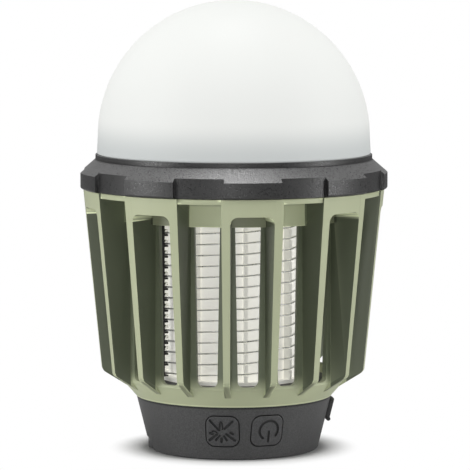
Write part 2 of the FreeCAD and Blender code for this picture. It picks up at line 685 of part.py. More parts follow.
# Control board: a disc on the cover's posts, cut clear of the screw bosses.
board = new_body("control_board")
disc = new_sketch(board, "disc", "XY_Plane", cell("board_level"))
circle_outline(disc, cell("board_radius"))
pad(board, disc, cell("board_depth"))
for index, place in enumerate(screw_places):
    clear = new_sketch(board, "clear_%d" % index, "XY_Plane", cell("board_level"))
    circle_outline(clear, cell("boss_radius") + cell("board_gap"), place)
    pocket(board, clear, cell("board_depth"), reverse=True)
keep(board)

# Charging socket: a folded metal box with a rounded mouth towards +X.
socket = radial_prism("usb_socket", cell("port_width"), cell("port_height"), cell("port_round"),
                      cell("port_front") - cell("port_length"), cell("port_length"),
                      port_level, RIGHT_ANGLE)
mouth = new_sketch(socket, "mouth", "YZ_Plane", cell("port_front"))
half_mouth = cell("port_width") / 2 - cell("port_metal")
half_rise = cell("port_height") / 2 - cell("port_metal")
box_outline(mouth, -half_mouth, port_level - half_rise, half_mouth, port_level + half_rise,
            cell("port_round") - cell("port_metal"))
pocket(socket, mouth, cell("port_length") - cell("port_metal"))
keep(socket)

# Port flap: a soft lid over the port, following the base's taper, with a plug behind it
# and a round bead along its lower edge, on which it bends open.
lid = radial_prism("flap_block", cell("flap_width"), cell("flap_height"), cell("flap_round"),
                   foot_inner, through_wall, port_level, RIGHT_ANGLE)
lid = boolean("Common", "flap_lid", lid, [base_skin("flap_skin", cell("flap_proud"), cell("flap_seat"))])
stem = radial_prism("flap_stem_block", cell("stem_width"), cell("stem_height"), cell("port_round"),
                    foot_inner, through_wall, port_level, RIGHT_ANGLE)
stem = boolean("Common", "flap_stem", stem,
               [base_skin("stem_skin", cell("flap_seat") * 2, -cell("stem_depth"))])
bead = new_body("flap_bead")
bead_radius = (cell("flap_proud") - cell("flap_seat")) / 2
bead_level = port_level - cell("flap_height") / 2
bead_end = new_sketch(bead, "end", "XZ_Plane")
circle_outline(bead_end, bead_radius,
               (base_radius_at(bead_level) + cell("flap_seat") + bead_radius, bead_level))
pad(bead, bead_end, cell("flap_width") - cell("flap_round") * 2, middle=True)
keep(boolean("Fuse", "port_flap", lid, [stem, bead]))

# Push buttons: a rounded cap in the wall, a retaining lip behind it and a nub to the switch.
lip_outer = -(base_wall + cell("lip_gap"))
lip_inner = lip_outer - cell("lip_depth")
nub_end = base_radius_at(switch_level) + lip_inner - cell("nub_length")
for name, side in (("lamp", -1), ("power", 1)):
    turn = side * cell("button_turn").number
    label = "button_" + name
    cap = radial_prism(label + "_cap", cell("button_width"), cell("button_height"),
                       cell("button_round"), foot_inner - base_wall, through_wall,
                       cell("button_level"), turn)
    cap = boolean("Common", label + "_face", cap,
                  [base_skin(label + "_skin", cell("button_proud"), lip_outer - cell("lip_gap"))])
    lip = radial_prism(label + "_lip", cell("button_width") + cell("button_lip") * 2,
                       cell("button_height") + cell("button_lip") * 2,
                       cell("button_round") + cell("button_lip"), foot_inner - base_wall * 2,
                       through_wall, cell("button_level"), turn)
    lip = boolean("Common", label + "_flange", lip,
                  [base_skin(label + "_lip_skin", lip_outer, lip_inner)])
    nub = new_body(label + "_nub")
    end = new_sketch(nub, "end", "YZ_Plane", nub_end)
    circle_outline(end, cell("nub_radius"), (ZERO, switch_level))
    pad(nub, end, cell("nub_length") + cell("lip_depth"))
    nub.Placement = turned(turn)
    keep(boolean("Fuse", label, cap, [lip, nub]))

# Push switches: one behind each button, standing on the control board.
plunger_end = nub_end - cell("button_travel") - cell("touch_gap")
for name, side in (("lamp", -1), ("power", 1)):
    switch = radial_prism("switch_" + name, cell("switch_width"), cell("switch_height"),
                          cell("slot_width"),
                          plunger_end - cell("plunger_length") - cell("switch_length"),
                          cell("switch_length"), switch_level, side * cell("button_turn").number)
    tip = new_sketch(switch, "plunger", "YZ_Plane", plunger_end - cell("plunger_length"))
    circle_outline(tip, cell("plunger_radius"), (ZERO, switch_level))
    pad(switch, tip, cell("plunger_length"))
    keep(switch)

# Boost transformer: a squared core with a round winding, at the back of the control board.
transformer = new_body("boost_transformer")
core = new_sketch(transformer, "core", "XY_Plane", board_top)
half_core = cell("transformer_width") / 2
depth = cell("transformer_length") / 2
box_outline(core, -half_core, cell("rear_parts") - depth, half_core, cell("rear_parts") + depth,
            cell("slot_width"))
pad(transformer, core, cell("transformer_height"))
winding = new_sketch(transformer, "winding", "XY_Plane", board_top + cell("slot_width"))
circle_outline(winding, cell("winding_radius"), (ZERO, cell("rear_parts")))
pad(transformer, winding, cell("transformer_height") - cell("slot_width") * 2)
keep(transformer)

# Storage capacitor: an upright can beside the transformer.
capacitor = new_body("storage_capacitor")
can = new_sketch(capacitor, "can", "XY_Plane", board_top)
circle_outline(can, cell("capacitor_radius"), (-cell("capacitor_side"), cell("capacitor_back")))
pad(capacitor, can, cell("capacitor_height"))
keep(capacitor)

# Cell carrier: a tall cup through the deck that holds the battery cell.
carrier = new_body("cell_carrier")
wall = new_sketch(carrier, "section", "XZ_Plane")
outline(wall, [
    (ZERO, board_top), (carrier_outer, board_top), (carrier_outer, cap_top),
    (carrier_inner, cap_top), (carrier_inner, cell_bottom), (ZERO, cell_bottom)])
revolve(carrier, wall)
keep(carrier)

# Battery cell: a can with rounded edges and a raised pole.
battery = new_body("battery_cell")
can = new_sketch(battery, "section", "XZ_Plane")
cell_top = cell_bottom + cell("cell_length") - cell("cell_pole_height")
outline(can, [
    (ZERO, cell_bottom), (cell("cell_radius"), cell_bottom, cell("cell_edge")),
    (cell("cell_radius"), cell_top, cell("cell_edge")), (cell("cell_pole_radius"), cell_top),
    (cell("cell_pole_radius"), cell_top + cell("cell_pole_height")),
    (ZERO, cell_top + cell("cell_pole_height"))])
revolve(battery, can)
keep(battery)

# Ultraviolet board: a thin sleeve round the carrier.
strip = new_body("uv_board")
sleeve = new_sketch(strip, "section", "XZ_Plane")
strip_outer = carrier_outer + cell("strip_depth")
box_outline(sleeve, carrier_outer, cell("strip_start"), strip_outer,
            cell("strip_start") + cell("strip_height"))
revolve(strip, sleeve)
keep(strip)

# Ultraviolet chips: rings of small flat blocks on that board.
chips = new_body("uv_leds")
rows = int(cell("chip_rows").number)
pads = []
for row in range(rows):
    level = cell("strip_start") + cell("strip_height") * ((row + 0.5) / rows)
    face = new_sketch(chips, "row_%d" % row, "YZ_Plane", strip_outer)
    half_width, half_height = cell("chip_width") / 2, cell("chip_height") / 2
    box_outline(face, -half_width, level - half_height, half_width, level + half_height)
    pads.append(pad(chips, face, cell("chip_depth")))
ring_pattern(chips, pads, cell("chip_columns"))
keep(chips)

# Light tube: the glossy cylinder that glows inside the grid.
tube = new_body("light_tube")
section = new_sketch(tube, "section", "XZ_Plane")
box_outline(section, tube_radius - cell("tube_wall"), deck_top, tube_radius, cell("tube_top"))
revolve(tube, section)
keep(tube)

# Wire grid. Two bare wires are wound side by side round nine upright combs.
frame_inner = tube_radius + cell("ring_gap")
frame_outer = frame_inner + cell("ring_width")
step = cell("grid_spacing")
wire_count = 2 * int(cell("grid_turns").number)
sides = int(cell("grid_sides").number)
side_turn = TURN / sides
grid_turn = cell("grid_turn").number
comb_azimuth = grid_turn - 2 * side_turn
rise = step * 2 / cell("grid_sides")
comb_top = cell("tube_top") - cell("top_ring_depth")
comb_inner = tube_radius + cell("comb_gap")


def wire_levels(phase, below, above, low, high):
    """The heights of the wires at a comb, a number of combs on from the first, that fit between two heights."""
    first = cell("grid_first") + rise * phase
    levels = [first + step * index for index in range(wire_count + 2)]
    return [level for level in levels
            if level.number - below.number > low.number and level.number + above.number < high.number]


def comb_outline(sketch, phase, low, high):
    """A comb's side view between two heights: a post with a notch for each wire that crosses it."""
    reach, floor, half = cell("comb_reach"), cell("comb_floor"), cell("comb_notch") / 2
    points = [(comb_inner, low), (reach, low)]
    for level in wire_levels(phase, half, half, low, high):
        points += [(reach, level - half), (floor, level - half), (floor, level + half), (reach, level + half)]
    points += [(reach, high), (comb_inner, high)]
    return outline(sketch, points)


def terminal_outline(sketch, phase, low, high):
    """The terminal comb's side view: a post outside the wires, two feet, and a tooth under each wire."""
    inner = cell("grid_radius") + cell("wire_radius") + cell("terminal_gap")
    outer = inner + cell("terminal_depth")
    tip, foot = cell("tooth_tip"), cell("terminal_foot")
    top = cell("wire_radius") + cell("terminal_gap")
    bottom = top + cell("tooth_height")
    points = [(tip, high), (outer, high), (outer, low), (tip, low), (tip, low + foot), (inner, low + foot)]
    for level in wire_levels(phase, bottom, top, low + foot, high - foot):
        points += [(inner, level - bottom), (tip, level - bottom), (tip, level - top), (inner, level - top)]
    points += [(inner, high - foot), (tip, high - foot)]
    return outline(sketch, points)


frame = new_body("grid_frame")
for name, low, high in (("lower", deck_top, deck_top + cell("ring_depth")),
                        ("upper", comb_top, cell("tube_top"))):
    section = new_sketch(frame, name, "XZ_Plane")
    box_outline(section, frame_inner, low, frame_outer, high)
    revolve(frame, section)
for index in range(sides):
    phase = index if index < sides - 2 else index - sides
    if phase == -2:
        continue
    teeth = new_sketch(frame, "comb_%d" % index, "XZ_Plane", azimuth=grid_turn + index * side_turn)
    comb_outline(teeth, phase, deck_top + cell("ring_depth") / 2, comb_top + cell("top_ring_depth") / 2)
    pad(frame, teeth, cell("comb_width"), middle=True)
keep(frame)

# Terminal comb: the black one outside the wires, which also holds the ends of both.
terminal = new_body("terminal_comb")
teeth = new_sketch(terminal, "teeth", "XZ_Plane", azimuth=comb_azimuth)
terminal_outline(teeth, -2, deck_top + cell("ring_depth"), comb_top)
pad(terminal, teeth, cell("terminal_width"), middle=True)
keep(terminal)


def grid_wire(label, lift):
    """A round wire along a polygonal helix that starts and ends at the terminal comb."""
    radius = cell("grid_radius").number
    climb = rise.number
    start = cell("grid_first").number - 2 * climb + lift
    places = []
    for index in range(int(cell("grid_turns").number) * sides + 1):
        place = direction(comb_azimuth + index * side_turn) * radius
        place.z = start + index * climb
        places.append(place)
    path = Part.makePolygon(places)
    along = places[1] - places[0]
    ring = Part.Wire([Part.makeCircle(cell("wire_radius").number, places[0], along)])
    shell_maker = Part.BRepOffsetAPI.MakePipeShell(path)
    shell_maker.setTransitionMode(1)
    shell_maker.add(ring, False, False)
    shell_maker.build()
    shell_maker.makeSolid()
    wire = doc.addObject("Part::Feature", label)
    wire.Shape = shell_maker.shape()
    wire.Placement = FreeCAD.Placement()
    wire.Label = label
    return keep(wire)


grid_wire("grid_wire_a", 0.0)
grid_wire("grid_wire_b", step.number)

# Column cap: closes the tube and the grid, and carries the lamp board on a ring.
cap = new_body("column_cap")
section = new_sketch(cap, "section", "XZ_Plane")
ring_inner = cell("cap_ring_radius") - cell("cap_ring_wall")
cap_bore = carrier_outer + cell("carrier_gap")
outline(section, [
    (cap_bore, cell("tube_top")), (cell("cap_radius"), cell("tube_top")),
    (cell("cap_radius"), cap_top), (cell("cap_ring_radius"), cap_top),
    (cell("cap_ring_radius"), lamp_board_level), (ring_inner, lamp_board_level),
    (ring_inner, cap_top), (cap_bore, cap_top)])
revolve(cap, section)
keep(cap)

# Lamp board and its chips under the dome.
lamp_board = new_body("lamp_board")
disc = new_sketch(lamp_board, "disc", "XY_Plane", lamp_board_level)
circle_outline(disc, cell("lamp_board_radius"))
pad(lamp_board, disc, cell("board_depth"))
keep(lamp_board)
lamp_chips = new_body("lamp_leds")
chip = new_sketch(lamp_chips, "chip", "XY_Plane", lamp_board_level + cell("board_depth"))
half_width, half_height = cell("chip_width") / 2, cell("chip_height") / 2
box_outline(chip, cell("lamp_chip_circle") - half_height, -half_width,
            cell("lamp_chip_circle") + half_height, half_width)
ring_pattern(lamp_chips, [pad(lamp_chips, chip, cell("chip_depth"))], cell("lamp_chips"))
keep(lamp_chips)

# Cage: one moulding. Eighteen fins stand on a tapered hub and a wall with a window in every gap.
cage = new_body("cage")
cage_inner = cell("cage_radius") - cell("cage_wall")
hub_bore = cell("neck_radius") + cell("hub_gap")
hub_rise = (cell("hub_top") - base_height) / (cell("cage_radius") - cell("hub_lip_radius"))


def hub_level(radius):
    """The height of the hub's outer cone at a radius."""
    return base_height + hub_rise * (radius - cell("hub_lip_radius"))


mid_wall = cell("cage_radius") - cell("cage_wall") / 2
fin = new_sketch(cage, "fin", "XZ_Plane")
outline(fin, [
    (mid_wall, shelf_level),
    (mid_wall, hub_level(mid_wall) + cell("hub_floor")),
    (cell("fin_root_radius"), hub_level(cell("fin_root_radius")) + cell("hub_floor") / 2),
    (cell("fin_root_radius"), hub_level(cell("fin_root_radius"))),
    (cell("fin_foot_radius"), cell("fin_foot_level"), cell("fin_round")),
    (cell("fin_top_radius"), shelf_level)])
fin_pad = pad(cage, fin, cell("fin_thick"), middle=True)
draft = new_sketch(cage, "draft", "YZ_Plane", cell("hub_lip_radius"))
fin_half, thin_half = cell("fin_thick") / 2, cell("fin_thin") / 2
for side in (-1, 1):
    outline(draft, [(fin_half * side, shelf_level), (thin_half * side, base_height),
                    (fin_half * (2 * side), base_height), (fin_half * (2 * side), shelf_level)])
draft_cut = pocket(cage, draft, cell("fin_top_radius"), reverse=True)
ring_pattern(cage, [fin_pad, draft_cut], cell("fin_count"))

section = new_sketch(cage, "section", "XZ_Plane")
sleeve_top = base_height + cell("sleeve_height")
sleeve_outer = hub_bore + cell("cage_wall")
outline(section, [
    (hub_bore, base_height),
    (cell("hub_lip_radius"), base_height),
    (cell("cage_radius"), cell("hub_top")),
    (cell("cage_radius"), cell("window_top")),
    (cell("band_radius"), cell("window_top")),
    (cell("band_radius"), shelf_level - cell("flange_depth")),
    (cell("flange_radius"), shelf_level - cell("flange_depth")),
    (cell("flange_radius"), shelf_level),
    (cell("rim_radius"), shelf_level),
    (cell("rim_radius"), shelf_level + cell("rim_height")),
    (cell("rim_radius") - cell("rim_wall"), shelf_level + cell("rim_height")),
    (cell("rim_radius") - cell("rim_wall"), cell("roof_level") + cell("roof_depth")),
    (cell("roof_bore"), cell("roof_level") + cell("roof_depth")),
    (cell("roof_bore"), cell("roof_level")),
    (cage_inner, cell("roof_level")),
    (cage_inner, hub_level(cage_inner) + cell("hub_floor")),
    (sleeve_outer, hub_level(sleeve_outer) + cell("hub_floor")),
    (sleeve_outer, sleeve_top),
    (hub_bore, sleeve_top)])
revolve(cage, section)

bridge = new_sketch(cage, "bridge", "XZ_Plane", azimuth=0)
bridge_rise = (cell("bridge_level") - cell("fin_foot_level")) / (shelf_level - cell("fin_foot_level"))
bridge_reach = cell("fin_foot_radius") + (cell("fin_top_radius") - cell("fin_foot_radius")) * bridge_rise
outline(bridge, [
    (mid_wall, cell("bridge_level")), (bridge_reach, cell("bridge_level")),
    (cell("fin_top_radius"), shelf_level), (mid_wall, shelf_level)])
fin_step = as_size(TURN) / cell("fin_count")
ring_pattern(cage, [revolve(cage, bridge, fin_step)], cell("lug_count"))

window = new_sketch(cage, "window", "XZ_Plane")
top_half, foot_half = cell("window_top_width") / 2, cell("window_foot_width") / 2
outline(window, [
    (-top_half, cell("window_top")),
    (-foot_half, cell("window_foot"), cell("window_round")),
    (foot_half, cell("window_foot"), cell("window_round")),
    (top_half, cell("window_top"))])
ring_pattern(cage, [pocket(cage, window, cell("flange_radius"), reverse=True)], cell("fin_count"))

ledge = new_sketch(cage, "ledge", "XZ_Plane", azimuth=0)
rim_top = shelf_level + cell("rim_height")
ledge_foot = rim_top - cell("bayonet_depth")
rim_mid = cell("rim_radius") - cell("rim_wall") / 2
ledge_tip = cell("rim_radius") + cell("ledge_reach")
box_outline(ledge, rim_mid, ledge_foot, ledge_tip, rim_top)
ring_pattern(cage, [revolve(cage, ledge, cell("ledge_angle"))], cell("bayonet_count"))
stop_turn = -(cell("tab_angle").number / 2 + cell("stop_angle").number)
stop = new_sketch(cage, "stop", "XZ_Plane", azimuth=stop_turn)
box_outline(stop, rim_mid, shelf_level - cell("flange_depth") / 2, ledge_tip,
            ledge_foot + cell("bayonet_depth") / 2)
ring_pattern(cage, [revolve(cage, stop, cell("stop_angle"))], cell("bayonet_count"))


def under_bridge(edge):
    """The straight edges where a bridge's underside meets the side of a fin."""
    box = edge.BoundBox
    level = abs(box.ZMin - cell("bridge_level").number) < SLACK and box.ZLength < SLACK
    spans = edge.Length > (cell("fin_top_radius").number - cell("band_radius").number) / 2
    return level and spans and isinstance(edge.Curve, Part.Line)


fillet(cage, cell("bridge_round"), under_bridge)
keep(cage)

# Neck seal: a soft ring in the groove of the base's neck.
seal = new_body("neck_seal")
section = new_sketch(seal, "section", "XZ_Plane")
circle_outline(section, cell("seal_radius"), (cell("seal_circle"), cell("seal_level")))
revolve(seal, section)
keep(seal)

# Collar: a turned ring with nine grip lugs and three bayonet tabs inside.
collar = new_body("collar_ring")
collar_foot = shelf_level + cell("collar_gap")
dome_skirt = cell("lip_radius") - cell("skirt_wall") - cell("dome_gap")
seat_outer = dome_skirt + cell("dome_gap")
section = new_sketch(collar, "section", "XZ_Plane")
outline(section, [
    (cell("collar_bore"), collar_foot),
    (cell("lug_radius"), collar_foot, cell("lug_round")),
    (cell("lug_radius"), cell("lug_top")),
    (cell("lip_radius"), cell("lip_foot")),
    (cell("lip_radius"), cell("lip_top")),
    (seat_outer, cell("lip_top")),
    (seat_outer, cell("seat_level")),
    (cell("collar_bore"), cell("seat_level"))])
revolve(collar, section)
recess = new_sketch(collar, "recess", "XZ_Plane", azimuth=TURN / 2)
outline(recess, [
    (cell("recess_radius"), collar_foot - cell("lug_round")),
    (cell("lug_radius") + cell("lug_round"), collar_foot - cell("lug_round")),
    (cell("lug_radius") + cell("lug_round"), cell("lip_foot")),
    (cell("recess_radius"), cell("lip_foot"))])
ring_pattern(collar, [revolve(collar, recess, cell("recess_angle"), cut=True)], cell("lug_count"))
tab = new_sketch(collar, "tab", "XZ_Plane", azimuth=0)
tab_top = ledge_foot - cell("bayonet_gap")
tab_mid = (cell("collar_bore") + cell("lug_radius")) / 2
box_outline(tab, cell("rim_radius") + cell("bayonet_gap"), tab_top - cell("bayonet_depth"),
            tab_mid, tab_top)
ring_pattern(collar, [revolve(collar, tab, cell("tab_angle"))], cell("bayonet_count"))
keep(collar)

# Dome seal: a flat soft ring on the collar's seat.
seal = new_body("dome_seal")
section = new_sketch(seal, "section", "XZ_Plane")
dome_foot = cell("seat_level") + cell("seal_depth")
skirt_inner = dome_skirt - cell("skirt_wall")
box_outline(section, skirt_inner, cell("seat_level"), dome_skirt, dome_foot)
revolve(seal, section)
keep(seal)

# Dome: a frosted shell, round above its centre and nearly straight below, with an inner skirt.
dome = new_body("dome_diffuser")
shell_radius = cell("dome_radius")
dome_centre = cell("dome_centre")
hollow_radius = shell_radius - cell("dome_wall")


def quarter(sketch, radius):
    """A quarter of a circle from the dome's shoulder to its top; returns its index in the sketch."""
    centre = FreeCAD.Vector(0, dome_centre.number, 0)
    circle = Part.Circle(centre, UP, radius.number)
    arc = sketch.addGeometry(Part.ArcOfCircle(circle, 0, math.pi / 2), False)
    fix_point(sketch, arc, 3, (ZERO, dome_centre))
    number = sketch.addConstraint(Sketcher.Constraint("Radius", arc, radius.number))
    bind(sketch, "Constraints[%d]" % number, radius)
    sketch.addConstraint(Sketcher.Constraint("Horizontal", arc, 1, arc, 3))
    sketch.addConstraint(Sketcher.Constraint("PointOnObject", arc, 2, -2))
    return arc


section = new_sketch(dome, "section", "XZ_Plane")
outer_arc = quarter(section, shell_radius)
inner_arc = quarter(section, hollow_radius)
chain = [
    (shell_radius, dome_centre), (cell("dome_step_radius"), cell("dome_step_level")),
    (dome_skirt, cell("dome_step_level")), (dome_skirt, dome_foot),
    (skirt_inner, dome_foot), (skirt_inner, cell("dome_step_level")),
    (hollow_radius, dome_centre)]
lines = []
for start, end in zip(chain, chain[1:]):
    ends = [FreeCAD.Vector(point[0].number, point[1].number, 0) for point in (start, end)]
    lines.append(section.addGeometry(Part.LineSegment(ends[0], ends[1]), False))
for index in range(1, len(lines)):
    section.addConstraint(Sketcher.Constraint("Coincident", lines[index - 1], 2, lines[index], 1))
    fix_point(section, lines[index], 1, chain[index])
section.addConstraint(Sketcher.Constraint("Coincident", outer_arc, 1, lines[0], 1))
section.addConstraint(Sketcher.Constraint("Coincident", inner_arc, 1, lines[-1], 2))
tops = [FreeCAD.Vector(0, (dome_centre + radius).number, 0) for radius in (hollow_radius, shell_radius)]
crown = section.addGeometry(Part.LineSegment(tops[0], tops[1]), False)
section.addConstraint(Sketcher.Constraint("Coincident", crown, 1, inner_arc, 2))
section.addConstraint(Sketcher.Constraint("Coincident", crown, 2, outer_arc, 2))
revolve(dome, section)
keep(dome)

doc.recompute()
faults = []
for item in doc.Objects:
    if "Invalid" in item.State or "Error" in item.State:
        faults.append("%s is in state %s" % (item.Label, item.State))
for item in subparts:
    if item.Shape.isNull() or not item.Shape.isValid() or not item.Shape.Solids:
        faults.append("%s has no valid solid" % item.Label)
if faults:
    raise RuntimeError("; ".join(faults))

os.makedirs("parts", exist_ok=True)
for item in subparts:
    item.Shape.exportStep("parts/%s.step" % item.Label)
    box = item.Shape.BoundBox
    print("%-20s solids %3d  volume %9.1f  z %7.2f to %7.2f" % (
        item.Label, len(item.Shape.Solids), item.Shape.Volume, box.ZMin, box.ZMax))
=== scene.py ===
import json
import math

import bmesh
import bpy
import numpy as np
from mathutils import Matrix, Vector


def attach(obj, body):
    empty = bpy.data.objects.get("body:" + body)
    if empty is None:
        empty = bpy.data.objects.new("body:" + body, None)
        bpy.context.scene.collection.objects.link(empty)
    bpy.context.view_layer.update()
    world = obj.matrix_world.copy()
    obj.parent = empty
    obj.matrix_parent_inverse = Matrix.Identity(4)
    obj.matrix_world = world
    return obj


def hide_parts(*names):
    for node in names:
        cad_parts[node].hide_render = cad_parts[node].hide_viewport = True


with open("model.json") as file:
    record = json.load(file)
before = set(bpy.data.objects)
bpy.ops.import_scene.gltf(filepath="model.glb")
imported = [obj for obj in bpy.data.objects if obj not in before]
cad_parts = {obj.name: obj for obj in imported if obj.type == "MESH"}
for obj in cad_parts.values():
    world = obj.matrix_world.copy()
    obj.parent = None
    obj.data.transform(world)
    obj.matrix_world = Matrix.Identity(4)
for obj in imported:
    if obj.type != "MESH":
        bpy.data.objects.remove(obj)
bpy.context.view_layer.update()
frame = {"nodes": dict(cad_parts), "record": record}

# Looks of an upright insect killer lamp. Lengths are metres unless a comment says millimetres, +Z is up
# and the front faces -Y. An azimuth is counted in degrees from -Y towards +X, as the lamp's frame does.

MM = 0.001
nodes = frame["nodes"]

# The base's cone: its radius at the foot in millimetres, what the radius gains per length of height, and
# how far the buttons stand out of it, in millimetres.
BASE_FOOT_RADIUS = 24.2
BASE_TAPER = 0.2484
BUTTON_PROUD = 0.25


def direction(azimuth):
    """The level unit vector at an azimuth in degrees: (sin a, -cos a, 0)."""
    angle = np.radians(azimuth)
    return np.array([math.sin(angle), -math.cos(angle), 0.0])


def sideways(azimuth):
    """The level unit vector a quarter turn on from an azimuth: (cos a, sin a, 0)."""
    angle = np.radians(azimuth)
    return np.array([math.cos(angle), math.sin(angle), 0.0])


# Mesh makers. Angles are in degrees. Points nearer to each other than a merge distance become one, edges
# under the flat angle go and those over the eased angle get a round. A face lies on a turned skin when
# all its corners are within the reach of it, in millimetres.

SKIN_MERGE = 1e-7
MOULDING_MERGE = 2e-6
FLAT_ANGLE = 0.6
EASED_ANGLE = 32.0
EASED_SEGMENTS = 2
SKIN_REACH = 0.05


def new_piece(name, points, faces):
    """A smooth mesh object from an array of points and an array of faces with equal numbers of corners."""
    mesh = bpy.data.meshes.new(name)
    mesh.from_pydata(points.reshape(-1, 3).tolist(), [], faces.tolist())
    mesh.validate()
    mesh.update()
    mesh.shade_smooth()
    piece = bpy.data.objects.new(name, mesh)
    bpy.context.scene.collection.objects.link(piece)
    return piece


def grid_faces(rows, columns, wrap_rows, start):
    """The quads of a grid of points, rows by columns, closed round its columns, and round its rows where
    that is set. The grid's points are numbered from a start."""
    row = np.arange(rows if wrap_rows else rows - 1)
    low, left = [part.ravel() for part in np.meshgrid(row, np.arange(columns), indexing="ij")]
    high, right = (low + 1) % rows, (left + 1) % columns
    corners = [low * columns + left, low * columns + right, high * columns + right, high * columns + left]
    return np.stack(corners, axis=1) + start


def shells(name, parts):
    """One object from closed skins. Each part is a table of points, rows by columns by (x, y, z), closed
    round its columns; its rows either start and end in a point or, with the flag set, close up too."""
    points, faces, start = [], [], 0
    for table, wrap_rows in parts:
        points.append(table.reshape(-1, 3))
        faces.append(grid_faces(*table.shape[:2], wrap_rows, start))
        start += len(points[-1])
    return outward(new_piece(name, np.concatenate(points), np.concatenate(faces)))


def turned(profile, steps):
    """A profile of (radius, height) carried round the axis: point (i, j) is
    (r_i sin a_j, -r_i cos a_j, z_i) with a_j = 2 pi j / steps."""
    profile = np.asarray(profile, float)
    angle = np.linspace(0.0, 2.0 * np.pi, steps, endpoint=False)
    table = np.empty((len(profile), steps, 3))
    table[:, :, 0] = profile[:, :1] * np.sin(angle)
    table[:, :, 1] = -profile[:, :1] * np.cos(angle)
    table[:, :, 2] = profile[:, 1:]
    return table


def outward(piece):
    """Merges doubled points, drops faces without area and points every face outwards."""
    shape = bmesh.new()
    shape.from_mesh(piece.data)
    bmesh.ops.remove_doubles(shape, verts=shape.verts, dist=SKIN_MERGE)
    bmesh.ops.dissolve_degenerate(shape, edges=shape.edges, dist=SKIN_MERGE)
    bmesh.ops.recalc_face_normals(shape, faces=shape.faces)
    shape.to_mesh(piece.data)
    shape.free()
    return piece


def arc(centre, radius, start, end, steps):
    """Points on an arc in the plane of (radius, height), from one angle to another in degrees."""
    angle = np.radians(np.linspace(start, end, steps + 1))
    return np.stack([centre[0] + radius * np.cos(angle), centre[1] + radius * np.sin(angle)], axis=1)


def smooth_by_angle(piece, degrees):
    """Smooth shading over faces that meet at less than an angle, with crisp edges elsewhere."""
    shape = bmesh.new()
    shape.from_mesh(piece.data)
    for edge in shape.edges:
        edge.smooth = len(edge.link_faces) == 2 and edge.calc_face_angle(0.0) < math.radians(degrees)
    shape.to_mesh(piece.data)
    shape.free()


def eased_copy(node, width):
    """A copy of a moulding with its sharp edges eased by a small round of the given width."""
    mesh = nodes[node].data.copy()
    piece = bpy.data.objects.new(node + "_moulding", mesh)
    bpy.context.scene.collection.objects.link(piece)
    shape = bmesh.new()
    shape.from_mesh(mesh)
    bmesh.ops.remove_doubles(shape, verts=shape.verts, dist=MOULDING_MERGE)
    bmesh.ops.dissolve_degenerate(shape, edges=shape.edges, dist=MOULDING_MERGE)
    bmesh.ops.dissolve_limit(shape, angle_limit=math.radians(FLAT_ANGLE), verts=shape.verts,
                             edges=shape.edges)
    shape.to_mesh(mesh)
    shape.free()
    mesh.shade_smooth()
    ease = piece.modifiers.new("eased edges", "BEVEL")
    ease.width = width
    ease.segments = EASED_SEGMENTS
    ease.limit_method = "ANGLE"
    ease.angle_limit = math.radians(EASED_ANGLE)
    ease.use_clamp_overlap = True
    ease.harden_normals = True
    ease.miter_outer = "MITER_ARC"
    return piece


def read_array(items, label, columns, kind=float):
    """One attribute of every item of a mesh's list, as an array of one or more columns."""
    values = np.empty(len(items) * columns, dtype=kind)
    items.foreach_get(label, values)
    return values.reshape(-1, columns) if columns > 1 else values


def true_normals(piece, skins):
    """Fixes the eased edges in the mesh and shades its turned surfaces with their own normals. A skin is
    the line (r0, z0)-(r1, z1) in mm; on it the normal is (z1 - z0) outwards and (r0 - r1) upwards."""
    shown = piece.evaluated_get(bpy.context.evaluated_depsgraph_get())
    mesh = bpy.data.meshes.new_from_object(shown)
    piece.modifiers.clear()
    piece.data = mesh
    points = read_array(mesh.vertices, "co", 3) / MM
    corner = read_array(mesh.loops, "vertex_index", 1, int)
    starts = read_array(mesh.polygons, "loop_start", 1, int)
    counts = read_array(mesh.polygons, "loop_total", 1, int)
    normals = read_array(mesh.corner_normals, "vector", 3)
    radius, height = np.hypot(points[:, 0], points[:, 1]), points[:, 2]
    for (r0, z0), (r1, z1) in skins:
        along = np.array([r1 - r0, z1 - z0]) / math.hypot(r1 - r0, z1 - z0)
        away = np.abs((radius - r0) * along[1] - (height - z0) * along[0])
        near = (away < SKIN_REACH) & (height > z0 - SKIN_REACH) & (height < z1 + SKIN_REACH)
        whole = np.repeat(np.minimum.reduceat(near[corner].astype(int), starts), counts).astype(bool)
        spot = corner[whole]
        normals[whole, 0] = along[1] * points[spot, 0] / radius[spot]
        normals[whole, 1] = along[1] * points[spot, 1] / radius[spot]
        normals[whole, 2] = -along[0]
    mesh.normals_split_custom_set(normals.tolist())


# Shader nodes. A value that feeds a socket is another socket or a constant.

NUMBER = "NodeSocketFloat"
VECTOR = "NodeSocketVector"


def feed(tree, value, socket):
    """Links a value to a socket, or sets the socket to it."""
    if isinstance(value, bpy.types.NodeSocket):
        tree.links.new(value, socket)
    else:
        socket.default_value = value


def maths(tree, operation, *values):
    """A Math node; returns its value."""
    node = tree.nodes.new("ShaderNodeMath")
    node.operation = operation
    for value, socket in zip(values, node.inputs):
        feed(tree, value, socket)
    return node.outputs[0]


def product(tree, first, *others):
    """The product of two or more values."""
    for other in others:
        first = maths(tree, "MULTIPLY", first, other)
    return first


def vector_maths(tree, operation, *values):
    """A Vector Math node; returns its value for a length or a dot product, or else its vector."""
    node = tree.nodes.new("ShaderNodeVectorMath")
    node.operation = operation
    for value, socket in zip(values, node.inputs):
        feed(tree, value, socket)
    return node.outputs["Value" if operation in ("LENGTH", "DOT_PRODUCT") else "Vector"]


def spread(tree, value, low, high, new_low=0.0, new_high=1.0):
    """A smooth step from one new value to another while a value goes from a low to a high bound."""
    node = tree.nodes.new("ShaderNodeMapRange")
    node.interpolation_type = "SMOOTHSTEP"
    for part, socket in zip((value, low, high, new_low, new_high), node.inputs):
        feed(tree, part, socket)
    return node.outputs[0]


